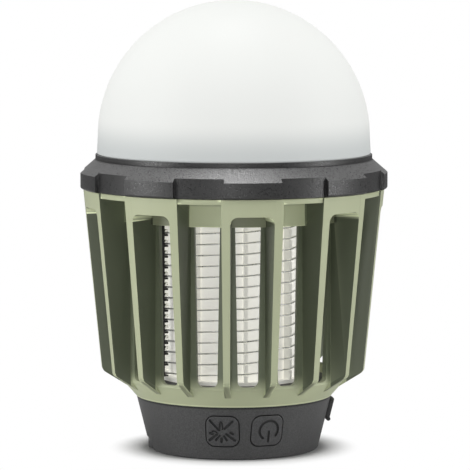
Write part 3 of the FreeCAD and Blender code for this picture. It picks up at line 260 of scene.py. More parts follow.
def noise(tree, vector, scale, detail=2.0, roughness=0.5):
    """Soft noise over a vector."""
    node = tree.nodes.new("ShaderNodeTexNoise")
    for label, value in (("Vector", vector), ("Scale", scale), ("Detail", detail), ("Roughness", roughness)):
        feed(tree, value, node.inputs[label])
    return node.outputs["Fac"]


def coordinate(tree, kind):
    """The place on the lamp, Object, or the surface's direction there, Normal."""
    return tree.nodes.new("ShaderNodeTexCoord").outputs[kind]


def separated(tree, vector):
    """The x, y and z of a vector."""
    node = tree.nodes.new("ShaderNodeSeparateXYZ")
    tree.links.new(vector, node.inputs[0])
    return tuple(node.outputs)


def level_vector(tree, x, y):
    """The vector (x, y, 0)."""
    node = tree.nodes.new("ShaderNodeCombineXYZ")
    tree.links.new(x, node.inputs["X"])
    tree.links.new(y, node.inputs["Y"])
    return node.outputs[0]


def bump_normal(tree, depth, height):
    """The normal of a surface with a small relief."""
    node = tree.nodes.new("ShaderNodeBump")
    tree.links.new(depth, node.inputs["Distance"])
    tree.links.new(height, node.inputs["Height"])
    return node.outputs["Normal"]


# Shader node groups. A share or range is where a mask starts and where it is full.

NOISE_RANGE = (0.3, 0.7)
DULL_SCALE = 220.0
FLANK_SHARE = (0.85, 0.98)
EDGE_SHARE = (0.12, 0.35)
OUTWARD_SHARE = (0.15, 0.35)
BAY_COUNT = 9.0
BAY_EDGE = 0.15


def node_group(name, inputs, outputs):
    """A shader group with named sockets, an input with its starting value and an output with its kind;
    returns the group, what it is given and the sockets of its results."""
    group = bpy.data.node_groups.new(name, "ShaderNodeTree")
    for label, value in inputs.items():
        kind = VECTOR if isinstance(value, tuple) else NUMBER
        group.interface.new_socket(label, in_out="INPUT", socket_type=kind).default_value = value
    for label, kind in outputs.items():
        group.interface.new_socket(label, in_out="OUTPUT", socket_type=kind)
    return group, group.nodes.new("NodeGroupInput").outputs, group.nodes.new("NodeGroupOutput").inputs


def moulded_grain_group():
    """Spark-eroded plastic: a fine grain in the normal, and soft patches in gloss and tone."""
    group, given, result = node_group(
        "moulded grain",
        {"Grain Size": 0.0003, "Grain Depth": 0.00001, "Gloss Low": 0.4, "Gloss High": 0.5,
         "Patch Size": 0.02, "Speckle": 0.3},
        {"Normal": VECTOR, "Roughness": NUMBER, "Tone": NUMBER})
    place = coordinate(group, "Object")
    fine = noise(group, place, maths(group, "DIVIDE", 1.0, given["Grain Size"]), 3.0, 0.6)
    patch = noise(group, place, maths(group, "DIVIDE", 1.0, given["Patch Size"]), 3.0, 0.5)
    mixed = maths(group, "ADD", product(group, fine, given["Speckle"]),
                  product(group, patch, maths(group, "SUBTRACT", 1.0, given["Speckle"])))
    rough = spread(group, mixed, *NOISE_RANGE, given["Gloss Low"], given["Gloss High"])
    group.links.new(bump_normal(group, given["Grain Depth"], fine), result["Normal"])
    group.links.new(rough, result["Roughness"])
    group.links.new(spread(group, mixed, *NOISE_RANGE), result["Tone"])
    return group


def drawn_metal_group():
    """Drawn wire and rolled sheet: faint lines along one axis and a few dull patches."""
    group, given, result = node_group(
        "drawn metal",
        {"Line Size": 0.0002, "Stretch": (1.0, 1.0, 1.0), "Line Depth": 0.000004, "Gloss Low": 0.15,
         "Gloss High": 0.3},
        {"Normal": VECTOR, "Roughness": NUMBER, "Tone": NUMBER})
    place = coordinate(group, "Object")
    stretched = vector_maths(group, "MULTIPLY", place, given["Stretch"])
    lines = noise(group, stretched, maths(group, "DIVIDE", 1.0, given["Line Size"]))
    dull = noise(group, place, DULL_SCALE, 3.0)
    mean = product(group, maths(group, "ADD", lines, dull), 0.5)
    rough = spread(group, mean, *NOISE_RANGE, given["Gloss Low"], given["Gloss High"])
    group.links.new(bump_normal(group, given["Line Depth"], lines), result["Normal"])
    group.links.new(rough, result["Roughness"])
    group.links.new(dull, result["Tone"])
    return group


def height_fade_group():
    """A value that goes smoothly from 0 to 1 between two heights of the lamp."""
    group, given, result = node_group("height fade", {"Low": 0.0, "High": 0.1}, {"Fade": NUMBER})
    height = separated(group, coordinate(group, "Object"))[2]
    group.links.new(spread(group, height, given["Low"], given["High"]), result["Fade"])
    return group


def height_band_group():
    """A mask that is 1 between two heights of the lamp and fades to 0 over a soft edge outside them."""
    group, given, result = node_group(
        "height band", {"Low": 0.0, "High": 0.1, "Soft": 0.0002}, {"Band": NUMBER})
    height = separated(group, coordinate(group, "Object"))[2]
    foot = maths(group, "SUBTRACT", given["Low"], given["Soft"])
    top = maths(group, "ADD", given["High"], given["Soft"])
    rising = spread(group, height, foot, given["Low"])
    falling = spread(group, height, given["High"], top, 1.0, 0.0)
    group.links.new(product(group, rising, falling), result["Band"])
    return group


def flank_group():
    """Three masks from the share of the normal along the level line round the axis, |n . (-y, x, 0) / r|.
    Flank is 1 where it is near 1, and Edge where it is between and the normal points away from the axis
    too, as on an eased upright edge, both farther out than a radius. Wall is 1 nearer than that radius,
    from a height at which it fades in up to another."""
    group, given, result = node_group(
        "fin flanks",
        {"Start": 0.033, "End": 0.035, "Wall Foot": 0.02, "Wall Full": 0.024, "Wall Top": 0.07},
        {"Flank": NUMBER, "Edge": NUMBER, "Wall": NUMBER})
    x, y, height = separated(group, coordinate(group, "Object"))
    normal = coordinate(group, "Normal")
    across = level_vector(group, product(group, y, -1.0), x)
    unit = vector_maths(group, "NORMALIZE", across)
    away = vector_maths(group, "CROSS_PRODUCT", unit, (0.0, 0.0, 1.0))
    level_share = maths(group, "ABSOLUTE", vector_maths(group, "DOT_PRODUCT", unit, normal))
    upright = spread(group, vector_maths(group, "DOT_PRODUCT", away, normal), *OUTWARD_SHARE)
    flank = spread(group, level_share, *FLANK_SHARE)
    eased = product(group, spread(group, level_share, *EDGE_SHARE), upright,
                    maths(group, "SUBTRACT", 1.0, flank))
    far_out = spread(group, vector_maths(group, "LENGTH", across), given["Start"], given["End"])
    near = maths(group, "SUBTRACT", 1.0, far_out)
    above = spread(group, height, given["Wall Foot"], given["Wall Full"])
    below = maths(group, "LESS_THAN", height, given["Wall Top"])
    group.links.new(product(group, flank, far_out), result["Flank"])
    group.links.new(product(group, eased, far_out), result["Edge"])
    group.links.new(product(group, above, below, near), result["Wall"])
    return group


def bay_group():
    """A mask of 1 on the band under the shelf, nearer than a radius and above a height, in the open bays
    between the bridges, where cos(9 a) is below 0 at the angle a round the axis."""
    group, given, result = node_group("open bays", {"Reach": 0.0352, "Foot": 0.0666}, {"Bay": NUMBER})
    x, y, height = separated(group, coordinate(group, "Object"))
    angle = maths(group, "ARCTAN2", x, product(group, y, -1.0))
    wave = maths(group, "COSINE", product(group, angle, BAY_COUNT))
    between = spread(group, wave, -BAY_EDGE, BAY_EDGE, 1.0, 0.0)
    near = maths(group, "LESS_THAN", vector_maths(group, "LENGTH", level_vector(group, x, y)), given["Reach"])
    above = maths(group, "GREATER_THAN", height, given["Foot"])
    group.links.new(product(group, between, near, above), result["Bay"])
    return group


def sunk_group():
    """A mask that rises from 0 to 1 with the depth below a cone, foot + taper z - sqrt(x x + y y)."""
    group, given, result = node_group(
        "sunk below cone", {"Foot": 0.02, "Taper": 0.2, "Low": 0.0, "High": 0.0003}, {"Sunk": NUMBER})
    x, y, height = separated(group, coordinate(group, "Object"))
    skin = maths(group, "ADD", product(group, height, given["Taper"]), given["Foot"])
    depth = maths(group, "SUBTRACT", skin, vector_maths(group, "LENGTH", level_vector(group, x, y)))
    group.links.new(spread(group, depth, given["Low"], given["High"]), result["Sunk"])
    return group


def upward_group():
    """A mask that rises from 0 to 1 as the height of a face's normal goes from one value to another."""
    group, given, result = node_group("upward faces", {"Low": 0.4, "High": 0.75}, {"Upward": NUMBER})
    up = separated(group, coordinate(group, "Normal"))[2]
    group.links.new(spread(group, up, given["Low"], given["High"]), result["Upward"])
    return group


MOULDED_GRAIN = moulded_grain_group()
UPWARD = upward_group()
FIN_FLANKS = flank_group()
OPEN_BAYS = bay_group()
SUNK = sunk_group()
DRAWN_METAL = drawn_metal_group()
HEIGHT_FADE = height_fade_group()
HEIGHT_BAND = height_band_group()


# Materials. Colours are linear.

# The hue of the painted shade on the cage's flanks and wall, a little greener.
SHADE_HUE = 0.528
METAL_DULL = 0.85
METAL_BRIGHT = 1.1


def new_material(name):
    """A material, its node tree and its main shader."""
    material = bpy.data.materials.new(name)
    material.use_nodes = True
    return material, material.node_tree, material.node_tree.nodes["Principled BSDF"]


def placed(tree, group, **values):
    """A node group in a material, with its own values; a name's underscores stand for spaces."""
    node = tree.nodes.new("ShaderNodeGroup")
    node.node_tree = group
    for label, value in values.items():
        node.inputs[label.replace("_", " ").title()].default_value = value
    return node


def blended(tree, factor, first, second):
    """A colour between two."""
    node = tree.nodes.new("ShaderNodeMix")
    node.data_type = "RGBA"
    tree.links.new(factor, node.inputs["Factor"])
    for label, colour in (("A", first), ("B", second)):
        socket = [item for item in node.inputs if item.name == label and item.type == "RGBA"][0]
        socket.default_value = (*colour, 1.0)
    return [item for item in node.outputs if item.type == "RGBA"][0]


def shade(colour, factor):
    """A colour made lighter or darker by a factor."""
    return tuple(min(1.0, part * factor) for part in colour)


def dressed(tree, shader, surface, tone, glow=0.0):
    """Gives a shader its tone and a surface's gloss and relief. A glow is painted light: it stands for the
    light that a milky piece passes on through its wall."""
    tree.links.new(tone, shader.inputs["Base Color"])
    for label in ("Roughness", "Normal"):
        tree.links.new(surface.outputs[label], shader.inputs[label])
    if glow:
        tree.links.new(tone, shader.inputs["Emission Color"])
        shader.inputs["Emission Strength"].default_value = glow


def moulded_plastic(name, colour, gloss, grain_size, grain_depth, contrast=0.06, specular=0.5, speckle=0.3,
                    glow=0.0):
    """Injection moulded plastic in one colour, with grain, soft gloss patches and a faint mottle."""
    material, tree, shader = new_material(name)
    grain = placed(tree, MOULDED_GRAIN, grain_size=grain_size, grain_depth=grain_depth,
                   gloss_low=gloss[0], gloss_high=gloss[1], speckle=speckle)
    tone = blended(tree, grain.outputs["Tone"], shade(colour, 1.0 - contrast), shade(colour, 1.0 + contrast))
    dressed(tree, shader, grain, tone, glow)
    shader.inputs["Specular IOR Level"].default_value = specular
    return material


def retoned(material, group, output, factor, hue=0.5, **values):
    """Makes a finish darker or lighter by a factor where a mask from a group is 1, and may turn its hue."""
    tree = material.node_tree
    shader = tree.nodes["Principled BSDF"]
    open_tone = shader.inputs["Base Color"].links[0].from_socket
    mask = placed(tree, group, **values)
    changed = tree.nodes.new("ShaderNodeHueSaturation")
    changed.inputs["Value"].default_value = factor
    changed.inputs["Hue"].default_value = hue
    tree.links.new(mask.outputs[output], changed.inputs["Fac"])
    tree.links.new(open_tone, changed.inputs["Color"])
    tree.links.new(changed.outputs["Color"], shader.inputs["Base Color"])
    return material


# Where painted shade and painted light go on the cage: its fins outside the wall, the wall between them, the
# band under the shelf and the hub's rim. The collar's lugs leave out the wall, because its heights are above
# the lamp.
# The painted shade at the foot of the collar's lip and under the cage's hub lies in thin bands of height;
# undersides and the collar's cone go by the height of the normal.
FIN_PLACES = {"start": 0.0330, "end": 0.0334, "wall_foot": 0.0205, "wall_full": 0.0250, "wall_top": 0.0665}
SHELF_BAND = {"start": 0.0350, "end": 0.0354, "wall_top": 0.0750}
SHELF_BAND_FOOT = {"wall_foot": 0.0666, "wall_full": 0.0668}
SHELF_BAND_TOP = {"wall_foot": 0.0721, "wall_full": 0.0732}
HUB_RIM = {"low": 0.0152, "high": 0.0158, "soft": 0.0003}
HUB_FOOT = {"low": 0.0150, "high": 0.0200, "soft": 0.0020}
LUG_PLACES = {"start": 0.0300, "end": 0.0310, "wall_foot": 1.0, "wall_full": 1.1, "wall_top": 1.0}
LIP_FOOT_SHADE_BAND = {"low": 0.0833, "high": 0.0837, "soft": 0.0002}
UNDER_HUB_SHADE_BAND = {"low": 0.0151, "high": 0.0160, "soft": 0.0004}
UNDERSIDE = {"low": -0.72, "high": -0.92}
CONE = {"low": 0.4, "high": 0.7}

# How much painted light or painted shade each of those places gets, against the rest of the piece.
CAGE_SHADES = {"flank": 0.27, "wall": 0.38, "edge": 2.3, "underside": 0.4, "rim": 1.3, "foot": 1.16,
               "band": 0.6, "band_top": 0.5, "open_bay": 2.8}
COLLAR_SHADES = {"cone": 7.8, "flank": 0.3, "edge": 2.4, "lip_foot": 0.15}
# Painted shade: on the base under the cage's hub, down in the buttons' symbols and inside the socket's mouth.
UNDER_HUB_SHADE = 0.2
SYMBOL_SHADE = 0.4
MOUTH_SHADE = 0.06

SPECKLED = {"contrast": 0.28, "speckle": 0.85}


def caged_green():
    """The cage's olive plastic, with painted shade where little light comes in: on the fins' flanks, on the
    wall behind, on undersides and on the band under the shelf, in a greener hue. Painted light makes it
    lighter along the eased edges, at the hub's lower rim and on the band in the open bays."""
    material = moulded_plastic("olive green", (0.458, 0.492, 0.318), (0.36, 0.44), 0.00045, 0.000006,
                               contrast=0.025)
    retoned(material, FIN_FLANKS, "Flank", CAGE_SHADES["flank"], hue=SHADE_HUE, **FIN_PLACES)
    retoned(material, FIN_FLANKS, "Edge", CAGE_SHADES["edge"], **FIN_PLACES)
    retoned(material, UPWARD, "Upward", CAGE_SHADES["underside"], **UNDERSIDE)
    retoned(material, HEIGHT_BAND, "Band", CAGE_SHADES["rim"], **HUB_RIM)
    retoned(material, HEIGHT_BAND, "Band", CAGE_SHADES["foot"], **HUB_FOOT)
    retoned(material, FIN_FLANKS, "Wall", CAGE_SHADES["band"], **SHELF_BAND_FOOT, **SHELF_BAND)
    retoned(material, FIN_FLANKS, "Wall", CAGE_SHADES["band_top"], **SHELF_BAND_TOP, **SHELF_BAND)
    retoned(material, OPEN_BAYS, "Bay", CAGE_SHADES["open_bay"], reach=0.0352, foot=0.0666)
    return retoned(material, FIN_FLANKS, "Wall", CAGE_SHADES["wall"], hue=SHADE_HUE, **FIN_PLACES)


def collar_dark():
    """The collar's speckled dark plastic, with a painted sheen on its cone, painted highlights along the
    lugs' edges, and painted shade on the lugs' flanks and in the crease under the dome's lip."""
    material = moulded_plastic("collar grey", (0.0135, 0.0135, 0.0135), (0.24, 0.54), 0.00045, 0.000060,
                               contrast=0.45, specular=0.66, speckle=0.85)
    retoned(material, UPWARD, "Upward", COLLAR_SHADES["cone"], **CONE)
    retoned(material, FIN_FLANKS, "Edge", COLLAR_SHADES["edge"], **LUG_PLACES)
    retoned(material, HEIGHT_BAND, "Band", COLLAR_SHADES["lip_foot"], **LIP_FOOT_SHADE_BAND)
    return retoned(material, FIN_FLANKS, "Flank", COLLAR_SHADES["flank"], **LUG_PLACES)


def base_grey():
    """The base's soft dark plastic, with a line of painted shadow under the cage's hub."""
    material = moulded_plastic("soft dark grey", (0.066, 0.066, 0.067), (0.50, 0.58), 0.00042, 0.000020,
                               **SPECKLED)
    return retoned(material, HEIGHT_BAND, "Band", UNDER_HUB_SHADE, **UNDER_HUB_SHADE_BAND)


def engraved_grey():
    """The buttons' plastic, a little glossier than the base's, with painted shade down in the engraved
    symbols.
    """
    material = moulded_plastic("button grey", (0.066, 0.066, 0.068), (0.48, 0.56), 0.00042, 0.000018,
                               **SPECKLED)
    return retoned(material, SUNK, "Sunk", SYMBOL_SHADE, foot=(BASE_FOOT_RADIUS + BUTTON_PROUD) * MM,
                   taper=BASE_TAPER, low=0.00005, high=0.00030)


def metal(name, colour, gloss, line_size, stretch, line_depth):
    """Bright metal with faint drawing lines and dull patches."""
    material, tree, shader = new_material(name)
    drawn = placed(tree, DRAWN_METAL, line_size=line_size, stretch=stretch, line_depth=line_depth,
                   gloss_low=gloss[0], gloss_high=gloss[1])
    tone = blended(tree, drawn.outputs["Tone"], shade(colour, METAL_DULL), shade(colour, METAL_BRIGHT))
    dressed(tree, shader, drawn, tone)
    shader.inputs["Metallic"].default_value = 1.0
    return material


def plated_sheet(name):
    """Bright folded sheet, rolled along the lamp's X axis."""
    return metal(name, (0.55, 0.55, 0.55), (0.30, 0.42), 0.0005, (0.2, 1.0, 1.0), 0.000001)


def painted_shade_mouth():
    """The charging socket's plated sheet, with painted shade inside its mouth."""
    return retoned(plated_sheet("plated socket"), SUNK, "Sunk", MOUTH_SHADE,
                   foot=BASE_FOOT_RADIUS * MM, taper=BASE_TAPER, low=0.0028, high=0.0034)


def frosted_dome():
    """Frosted white diffuser with a painted glow, and greyer low down from painted shade near the collar."""
    material, tree, shader = new_material("frosted dome")
    grain = placed(tree, MOULDED_GRAIN, grain_size=0.0002, grain_depth=0.000002,
                   gloss_low=0.42, gloss_high=0.5, patch_size=0.03)
    fade = placed(tree, HEIGHT_FADE, low=0.086, high=0.0955)
    tone = blended(tree, fade.outputs["Fade"], (0.295, 0.308, 0.305), (0.41, 0.416, 0.405))
    dressed(tree, shader, grain, tone, glow=1.05)
    shader.inputs["Specular IOR Level"].default_value = 0.05
    return material


FINISHES = {
    "soft_grey": base_grey(),
    "button_grey": engraved_grey(),
    "rubber_grey": moulded_plastic("flap rubber", (0.045, 0.045, 0.046), (0.62, 0.72), 0.00022, 0.000008),
    "collar_grey": collar_dark(),
    "cage_green": caged_green(),
    "dome_white": frosted_dome(),
    # The tube and the comb carry a painted glow, painted light that keeps them bright behind the wires.
    "tube_cream": moulded_plastic("tube cream", (0.84, 0.83, 0.78), (0.16, 0.22), 0.0006, 0.000002,
                                  contrast=0.015, glow=0.40),
    "comb_cream": moulded_plastic("comb cream", (0.84, 0.83, 0.77), (0.35, 0.45), 0.0003, 0.000004,
                                  contrast=0.03, glow=0.27),
    "white_plastic": moulded_plastic("white plastic", (0.78, 0.78, 0.76), (0.4, 0.5), 0.0003, 0.000006),
    "black_plastic": moulded_plastic("black plastic", (0.018, 0.018, 0.018), (0.35, 0.45), 0.0003, 0.000006,
                                     contrast=0.1),
    "grid_steel": metal("bright wire", (0.88, 0.88, 0.87), (0.25, 0.40), 0.00015, (1.0, 1.0, 0.2), 0.000003),
    "screw_steel": metal("zinc plate", (0.50, 0.50, 0.50), (0.25, 0.38), 0.0003, (1.0, 1.0, 1.0), 0.000004),
    "socket_steel": plated_sheet("plated sheet"),
    "painted_shade_mouth": painted_shade_mouth(),
    "board_green": moulded_plastic("green board", (0.03, 0.13, 0.06), (0.25, 0.35), 0.0004, 0.000006),
    "board_white": moulded_plastic("white board", (0.75, 0.75, 0.73), (0.25, 0.35), 0.0004, 0.000004),
    "chip_yellow": moulded_plastic("light chip", (0.75, 0.60, 0.18), (0.2, 0.3), 0.0004, 0.000004),
    "cell_wrap": moulded_plastic("cell wrap", (0.05, 0.14, 0.28), (0.2, 0.3), 0.0008, 0.00001),
}
FINISH_OF = {"usb_socket": "painted_shade_mouth"}
SLOT_OF = {row["node"]: row["material_slot"] for row in frame["record"]["subparts"]}
BODY_OF = {node: body for body, members in frame["record"]["behaviour"]["bodies"].items() for node in members}


def finish(piece, node):
    """Gives a piece the finish of a node."""
    piece.data.materials.clear()
    piece.data.materials.append(FINISHES[FINISH_OF.get(node, SLOT_OF[node])])


def stand_in(piece, node):
    """A new piece shows in a node's place, with the finish of that node's record slot and with its body."""
    finish(piece, node)
    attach(piece, BODY_OF[node])
    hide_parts(node)


for node, piece in nodes.items():
    finish(piece, node)


# Mouldings with eased edges: the widths of the rounds, and the skins of turned surfaces in millimetres.

EASED_WIDTHS = {"cage": 0.30 * MM, "collar_ring": 0.18 * MM, "base_shell": 0.2 * MM, "bottom_cover": 0.2 * MM,
                "hanging_hook": 0.4 * MM, "port_flap": 0.5 * MM}
TURNED_SKINS = {
    "cage": (((28.2, 15.5), (33.0, 21.0)), ((33.0, 21.0), (33.0, 66.6)), ((34.4, 66.6), (34.4, 73.5)),
             ((38.0, 23.0), (43.1, 74.9))),
    "collar_ring": (((44.0, 75.6), (44.0, 79.6)), ((42.8, 75.05), (42.8, 80.64)),
                    ((44.0, 79.6), (39.6, 83.4)), ((39.6, 83.4), (39.6, 84.75))),
    "base_shell": (((24.2, 0.0), (28.05, 15.5)),),
}
for node, width in EASED_WIDTHS.items():
    moulding = eased_copy(node, width)
    true_normals(moulding, TURNED_SKINS.get(node, ()))
    stand_in(moulding, node)


# Dome: a frosted shell.

DOME_RADIUS = 38.9 * MM
DOME_CENTRE = 89.7 * MM
DOME_WALL = 1.8 * MM
DOME_FOOT = 84.9 * MM
DOME_FOOT_RADIUS = 39.15 * MM
SKIRT_RADIUS = 37.9 * MM
SKIRT_WALL = 1.4 * MM
SKIRT_FOOT = 81.0 * MM
DOME_EDGE = 0.35 * MM
OUTSIDE_STEPS = 72
INSIDE_STEPS = 48
DOME_EDGE_STEPS = 8
DOME_TURN_STEPS = 192


def dome_profile():
    """The dome's section from its outer crown down the outside, round the skirt and up the inside.
    Outside: r = R cos t, z = c + R sin t for t from 90 to 0 degrees; the foot's corner is rounded."""
    outer = arc((0.0, DOME_CENTRE), DOME_RADIUS, 90.0, 0.0, OUTSIDE_STEPS)
    corner = (DOME_FOOT_RADIUS - DOME_EDGE, DOME_FOOT + DOME_EDGE)
    edge = arc(corner, DOME_EDGE, 3.0, -90.0, DOME_EDGE_STEPS)
    inside = SKIRT_RADIUS - SKIRT_WALL
    skirt = [(SKIRT_RADIUS, DOME_FOOT), (SKIRT_RADIUS, SKIRT_FOOT + DOME_EDGE / 2),
             (SKIRT_RADIUS - DOME_EDGE / 2, SKIRT_FOOT), (inside + DOME_EDGE / 2, SKIRT_FOOT),
             (inside, SKIRT_FOOT + DOME_EDGE / 2), (inside, DOME_FOOT)]
    inner = arc((0.0, DOME_CENTRE), DOME_RADIUS - DOME_WALL, 0.0, 90.0, INSIDE_STEPS)
    return np.concatenate([outer, edge, skirt, inner])


stand_in(shells("dome_shell", [(turned(dome_profile(), DOME_TURN_STEPS), False)]), "dome_diffuser")


# Light tube: a turned ring with rounded rims.

TUBE_RADIUS = 18.8 * MM
TUBE_WALL = 1.4 * MM
TUBE_FOOT = 20.5 * MM
TUBE_TOP = 71.0 * MM
TUBE_RIM = 0.4 * MM
TUBE_RIM_STEPS = 4
TUBE_TURN_STEPS = 160


def tube_profile():
    """The tube's wall: a tall rectangle in (radius, height) with its four corners rounded."""
    low, high = TUBE_FOOT + TUBE_RIM, TUBE_TOP - TUBE_RIM
    outer, inner = TUBE_RADIUS - TUBE_RIM, TUBE_RADIUS - TUBE_WALL + TUBE_RIM
    corners = ((outer, low), (outer, high), (inner, high), (inner, low))
    return np.concatenate([
        arc(corner, TUBE_RIM, 90.0 * index - 90.0, 90.0 * index, TUBE_RIM_STEPS)
        for index, corner in enumerate(corners)])


stand_in(shells("light_tube_glass", [(turned(tube_profile(), TUBE_TURN_STEPS), True)]), "light_tube")


# Push buttons: a cap with an engraved symbol, a retaining lip and a nub. Millimetres and degrees; an
# offset is counted outwards from the base's cone.

BUTTON_WIDTH = 9.2
BUTTON_HEIGHT = 8.8
BUTTON_ROUND = 2.4
BUTTON_LEVEL = 8.45
BUTTON_TURN = 14.0
BUTTON_EDGE = 0.35
BUTTON_LIP = 0.6
BUTTON_CREASE = 50.0
LIP_OUTER = -2.3
LIP_INNER = -3.1
NUB_RADIUS = 1.2
NUB_LENGTH = 1.1
NUB_LEVEL = 11.3
NUB_EDGE = 0.15
NUB_ROOT = 0.3
NUB_STEPS = 48
GROOVE_DEPTH = 0.4
GROOVE_EDGE = 0.16
CORNER_STEPS = 24
OUTLINE_STEPS = 400
FACE_STEPS = 84
EDGE_ANGLES = np.radians(np.linspace(15.0, 90.0, 6))

# Strokes of the two symbols: a half width and points (sideways, up) from the button's middle.
INSECT_STROKES = (
    (0.24, ((-3.4, 3.2), (-1.0, 0.5))),
    (0.24, ((2.9, 2.9), (0.75, 0.9))),
    (0.26, ((-3.6, -2.6), (-1.5, -0.9))),
    (0.26, ((3.5, -2.6), (1.2, -0.8))),
    (0.18, ((-0.75, 0.35), (-0.6, 2.2), (-0.3, 2.75))),
    (0.12, ((-0.3, 2.75), (0.05, 2.5), (0.15, 0.7))),
    (0.28, ((-3.4, -0.5), (-2.7, -0.75))),
    (0.10, ((-2.8, 0.05), (-2.1, 0.1), (-1.5, -0.3))),
    (0.28, ((2.3, -0.35), (2.95, -0.7))),
    (0.22, ((-1.75, -2.5), (-0.75, -1.3))),
    (0.24, ((-0.25, -3.05), (-0.2, -2.0))),
    (0.22, ((1.2, -2.6), (0.55, -1.4))))
RING_CENTRE = (0.35, 0.1)
RING_RADIUS = 2.75
RING_START = -35.0
RING_END = 235.0
RING_STEPS = 39
POWER_STROKES = (
    (0.24, tuple(map(tuple, arc(RING_CENTRE, RING_RADIUS, RING_START, RING_END, RING_STEPS)))),
    (0.20, ((0.4, -0.25), (0.38, -3.2))))


def rounded_outline(grow):
    """Points spaced evenly round the button's outline, a rounded rectangle, grown by a length."""
    corner = BUTTON_ROUND + grow
    half_width, half_height = BUTTON_WIDTH / 2 + grow, BUTTON_HEIGHT / 2 + grow
    loop = []
    for index, (side, up) in enumerate(((1, 1), (-1, 1), (-1, -1), (1, -1))):
        centre = (side * (half_width - corner), up * (half_height - corner))
        loop.append(arc(centre, corner, 90.0 * index, 90.0 * index + 90.0, CORNER_STEPS))
    loop = np.concatenate(loop + [loop[0][:1]])
    length = np.concatenate([[0.0], np.cumsum(np.linalg.norm(np.diff(loop, axis=0), axis=1))])
    even = np.linspace(0.0, length[-1], OUTLINE_STEPS, endpoint=False)
    return np.stack([np.interp(even, length, loop[:, 0]), np.interp(even, length, loop[:, 1])], axis=1)


def stroke_depth(points, strokes):
    """How far each point is sunk: the full groove depth within a stroke's half width of its line, and a
    smooth step, 3 t t - 2 t t t, down to nothing over the groove's edge."""
    depth = np.zeros(len(points))
    for half, line in strokes:
        for start, end in zip(line, line[1:]):
            start, along = np.array(start), np.array(end) - np.array(start)
            share = np.clip((points - start) @ along / (along @ along), 0.0, 1.0)
            away = np.linalg.norm(points - start - share[:, None] * along, axis=1)
            step = np.clip((half + GROOVE_EDGE - away) / GROOVE_EDGE, 0.0, 1.0)
            depth = np.maximum(depth, GROOVE_DEPTH * step * step * (3.0 - 2.0 * step))
    return depth


def on_base(points, offset, turn):
    """Places (sideways, up) points on the base's cone, out from it by an offset: the radius at a height
    is R = foot + taper * height + offset, and the point lies sqrt(R R - a a) out and a to the side."""
    level = BUTTON_LEVEL + points[:, 1]
    radius = BASE_FOOT_RADIUS + BASE_TAPER * level + offset
    out = np.sqrt(radius ** 2 - points[:, 0] ** 2)
    spots = out[:, None] * direction(turn) + points[:, :1] * sideways(turn)
    spots[:, 2] = level
    return spots * MM


def button_cap(strokes, turn):
    """The cap: rings of points from the middle of its face out to the edge, round it and back inside."""
    face = rounded_outline(-BUTTON_EDGE)
    rings = []
    for share in np.linspace(0.0, 1.0, FACE_STEPS):
        points = face * share
        rings.append(on_base(points, BUTTON_PROUD - stroke_depth(points, strokes), turn))
    for angle in EDGE_ANGLES:
        points = rounded_outline(-BUTTON_EDGE * (1.0 - math.sin(angle)))
        rings.append(on_base(points, BUTTON_PROUD - BUTTON_EDGE * (1.0 - math.cos(angle)), turn))
    whole = rounded_outline(0.0)
    back = (LIP_OUTER + LIP_INNER) / 2
    rings += [on_base(whole, back, turn), on_base(whole * 0.0, back, turn)]
    return np.stack(rings)


def button_lip(turn):
    """The lip behind the wall: a plate between two cones, as rings from one middle to the other."""
    edge = rounded_outline(BUTTON_LIP)
    return np.stack([on_base(edge * share, offset, turn) for share, offset in (
        (0.0, LIP_OUTER), (1.0, LIP_OUTER), (1.0, LIP_INNER), (0.0, LIP_INNER))])


def button_nub(turn):
    """The nub that meets the switch: a short rod along the button's own direction."""
    far = BASE_FOOT_RADIUS + BASE_TAPER * NUB_LEVEL + LIP_INNER
    tip, root = far - NUB_LENGTH, far + NUB_ROOT
    angle = np.linspace(0.0, 2.0 * np.pi, NUB_STEPS, endpoint=False)
    rings = []
    for out, radius in ((tip, 0.0), (tip, NUB_RADIUS - NUB_EDGE), (tip + NUB_EDGE, NUB_RADIUS),
                        (root, NUB_RADIUS), (root, 0.0)):
        ring = out * direction(turn) + radius * np.cos(angle)[:, None] * sideways(turn)
        ring[:, 2] = NUB_LEVEL + radius * np.sin(angle)
        rings.append(ring * MM)
    return np.stack(rings)


for node, strokes, side in (("button_lamp", INSECT_STROKES, -1), ("button_power", POWER_STROKES, 1)):
    turn = side * BUTTON_TURN
    skins = [(button_cap(strokes, turn), False), (button_lip(turn), False), (button_nub(turn), False)]
    button = shells(node + "_moulding", skins)
    smooth_by_angle(button, BUTTON_CREASE)
    stand_in(button, node)


# Stage: floor, light and camera. The floor's radii say where its painted shadow round the base ends and
# where it has faded to white. The floor lights the lamp with a bounce of its own.

FLOOR_HALF = 6.0
FLOOR_GAP = 0.05 * MM
FLOOR_NEAR = 0.0240
FLOOR_FAR = 0.0365
FLOOR_TONE = 0.95
PAINTED_SHADOW_NEAR = 0.0245
PAINTED_SHADOW_FAR = 0.0285
PAINTED_SHADOW_TONE = 0.52
FLOOR_BOUNCE = 0.66
ROOM_LEVEL = 0.05
MIRRORED_ROOM = 0.30
LIT_HEIGHT = 0.065

# Lamps: name, azimuth, distance from the axis, height, width, tallness and power in watts.
SOFTBOXES = (
    ("left softbox", -76.0, 0.9, 0.2, 0.35, 0.8, 6.2),
    ("right softbox", 68.0, 0.9, 0.2, 0.35, 0.8, 5.6),
    ("top softbox", 180.0, 0.11, 1.0, 0.35, 0.35, 4.8),
    ("high front softbox", -5.0, 0.5, 0.95, 0.6, 0.4, 3.2),
    ("front fill", -12.0, 1.3, 0.12, 0.3, 0.3, 2.0),
)

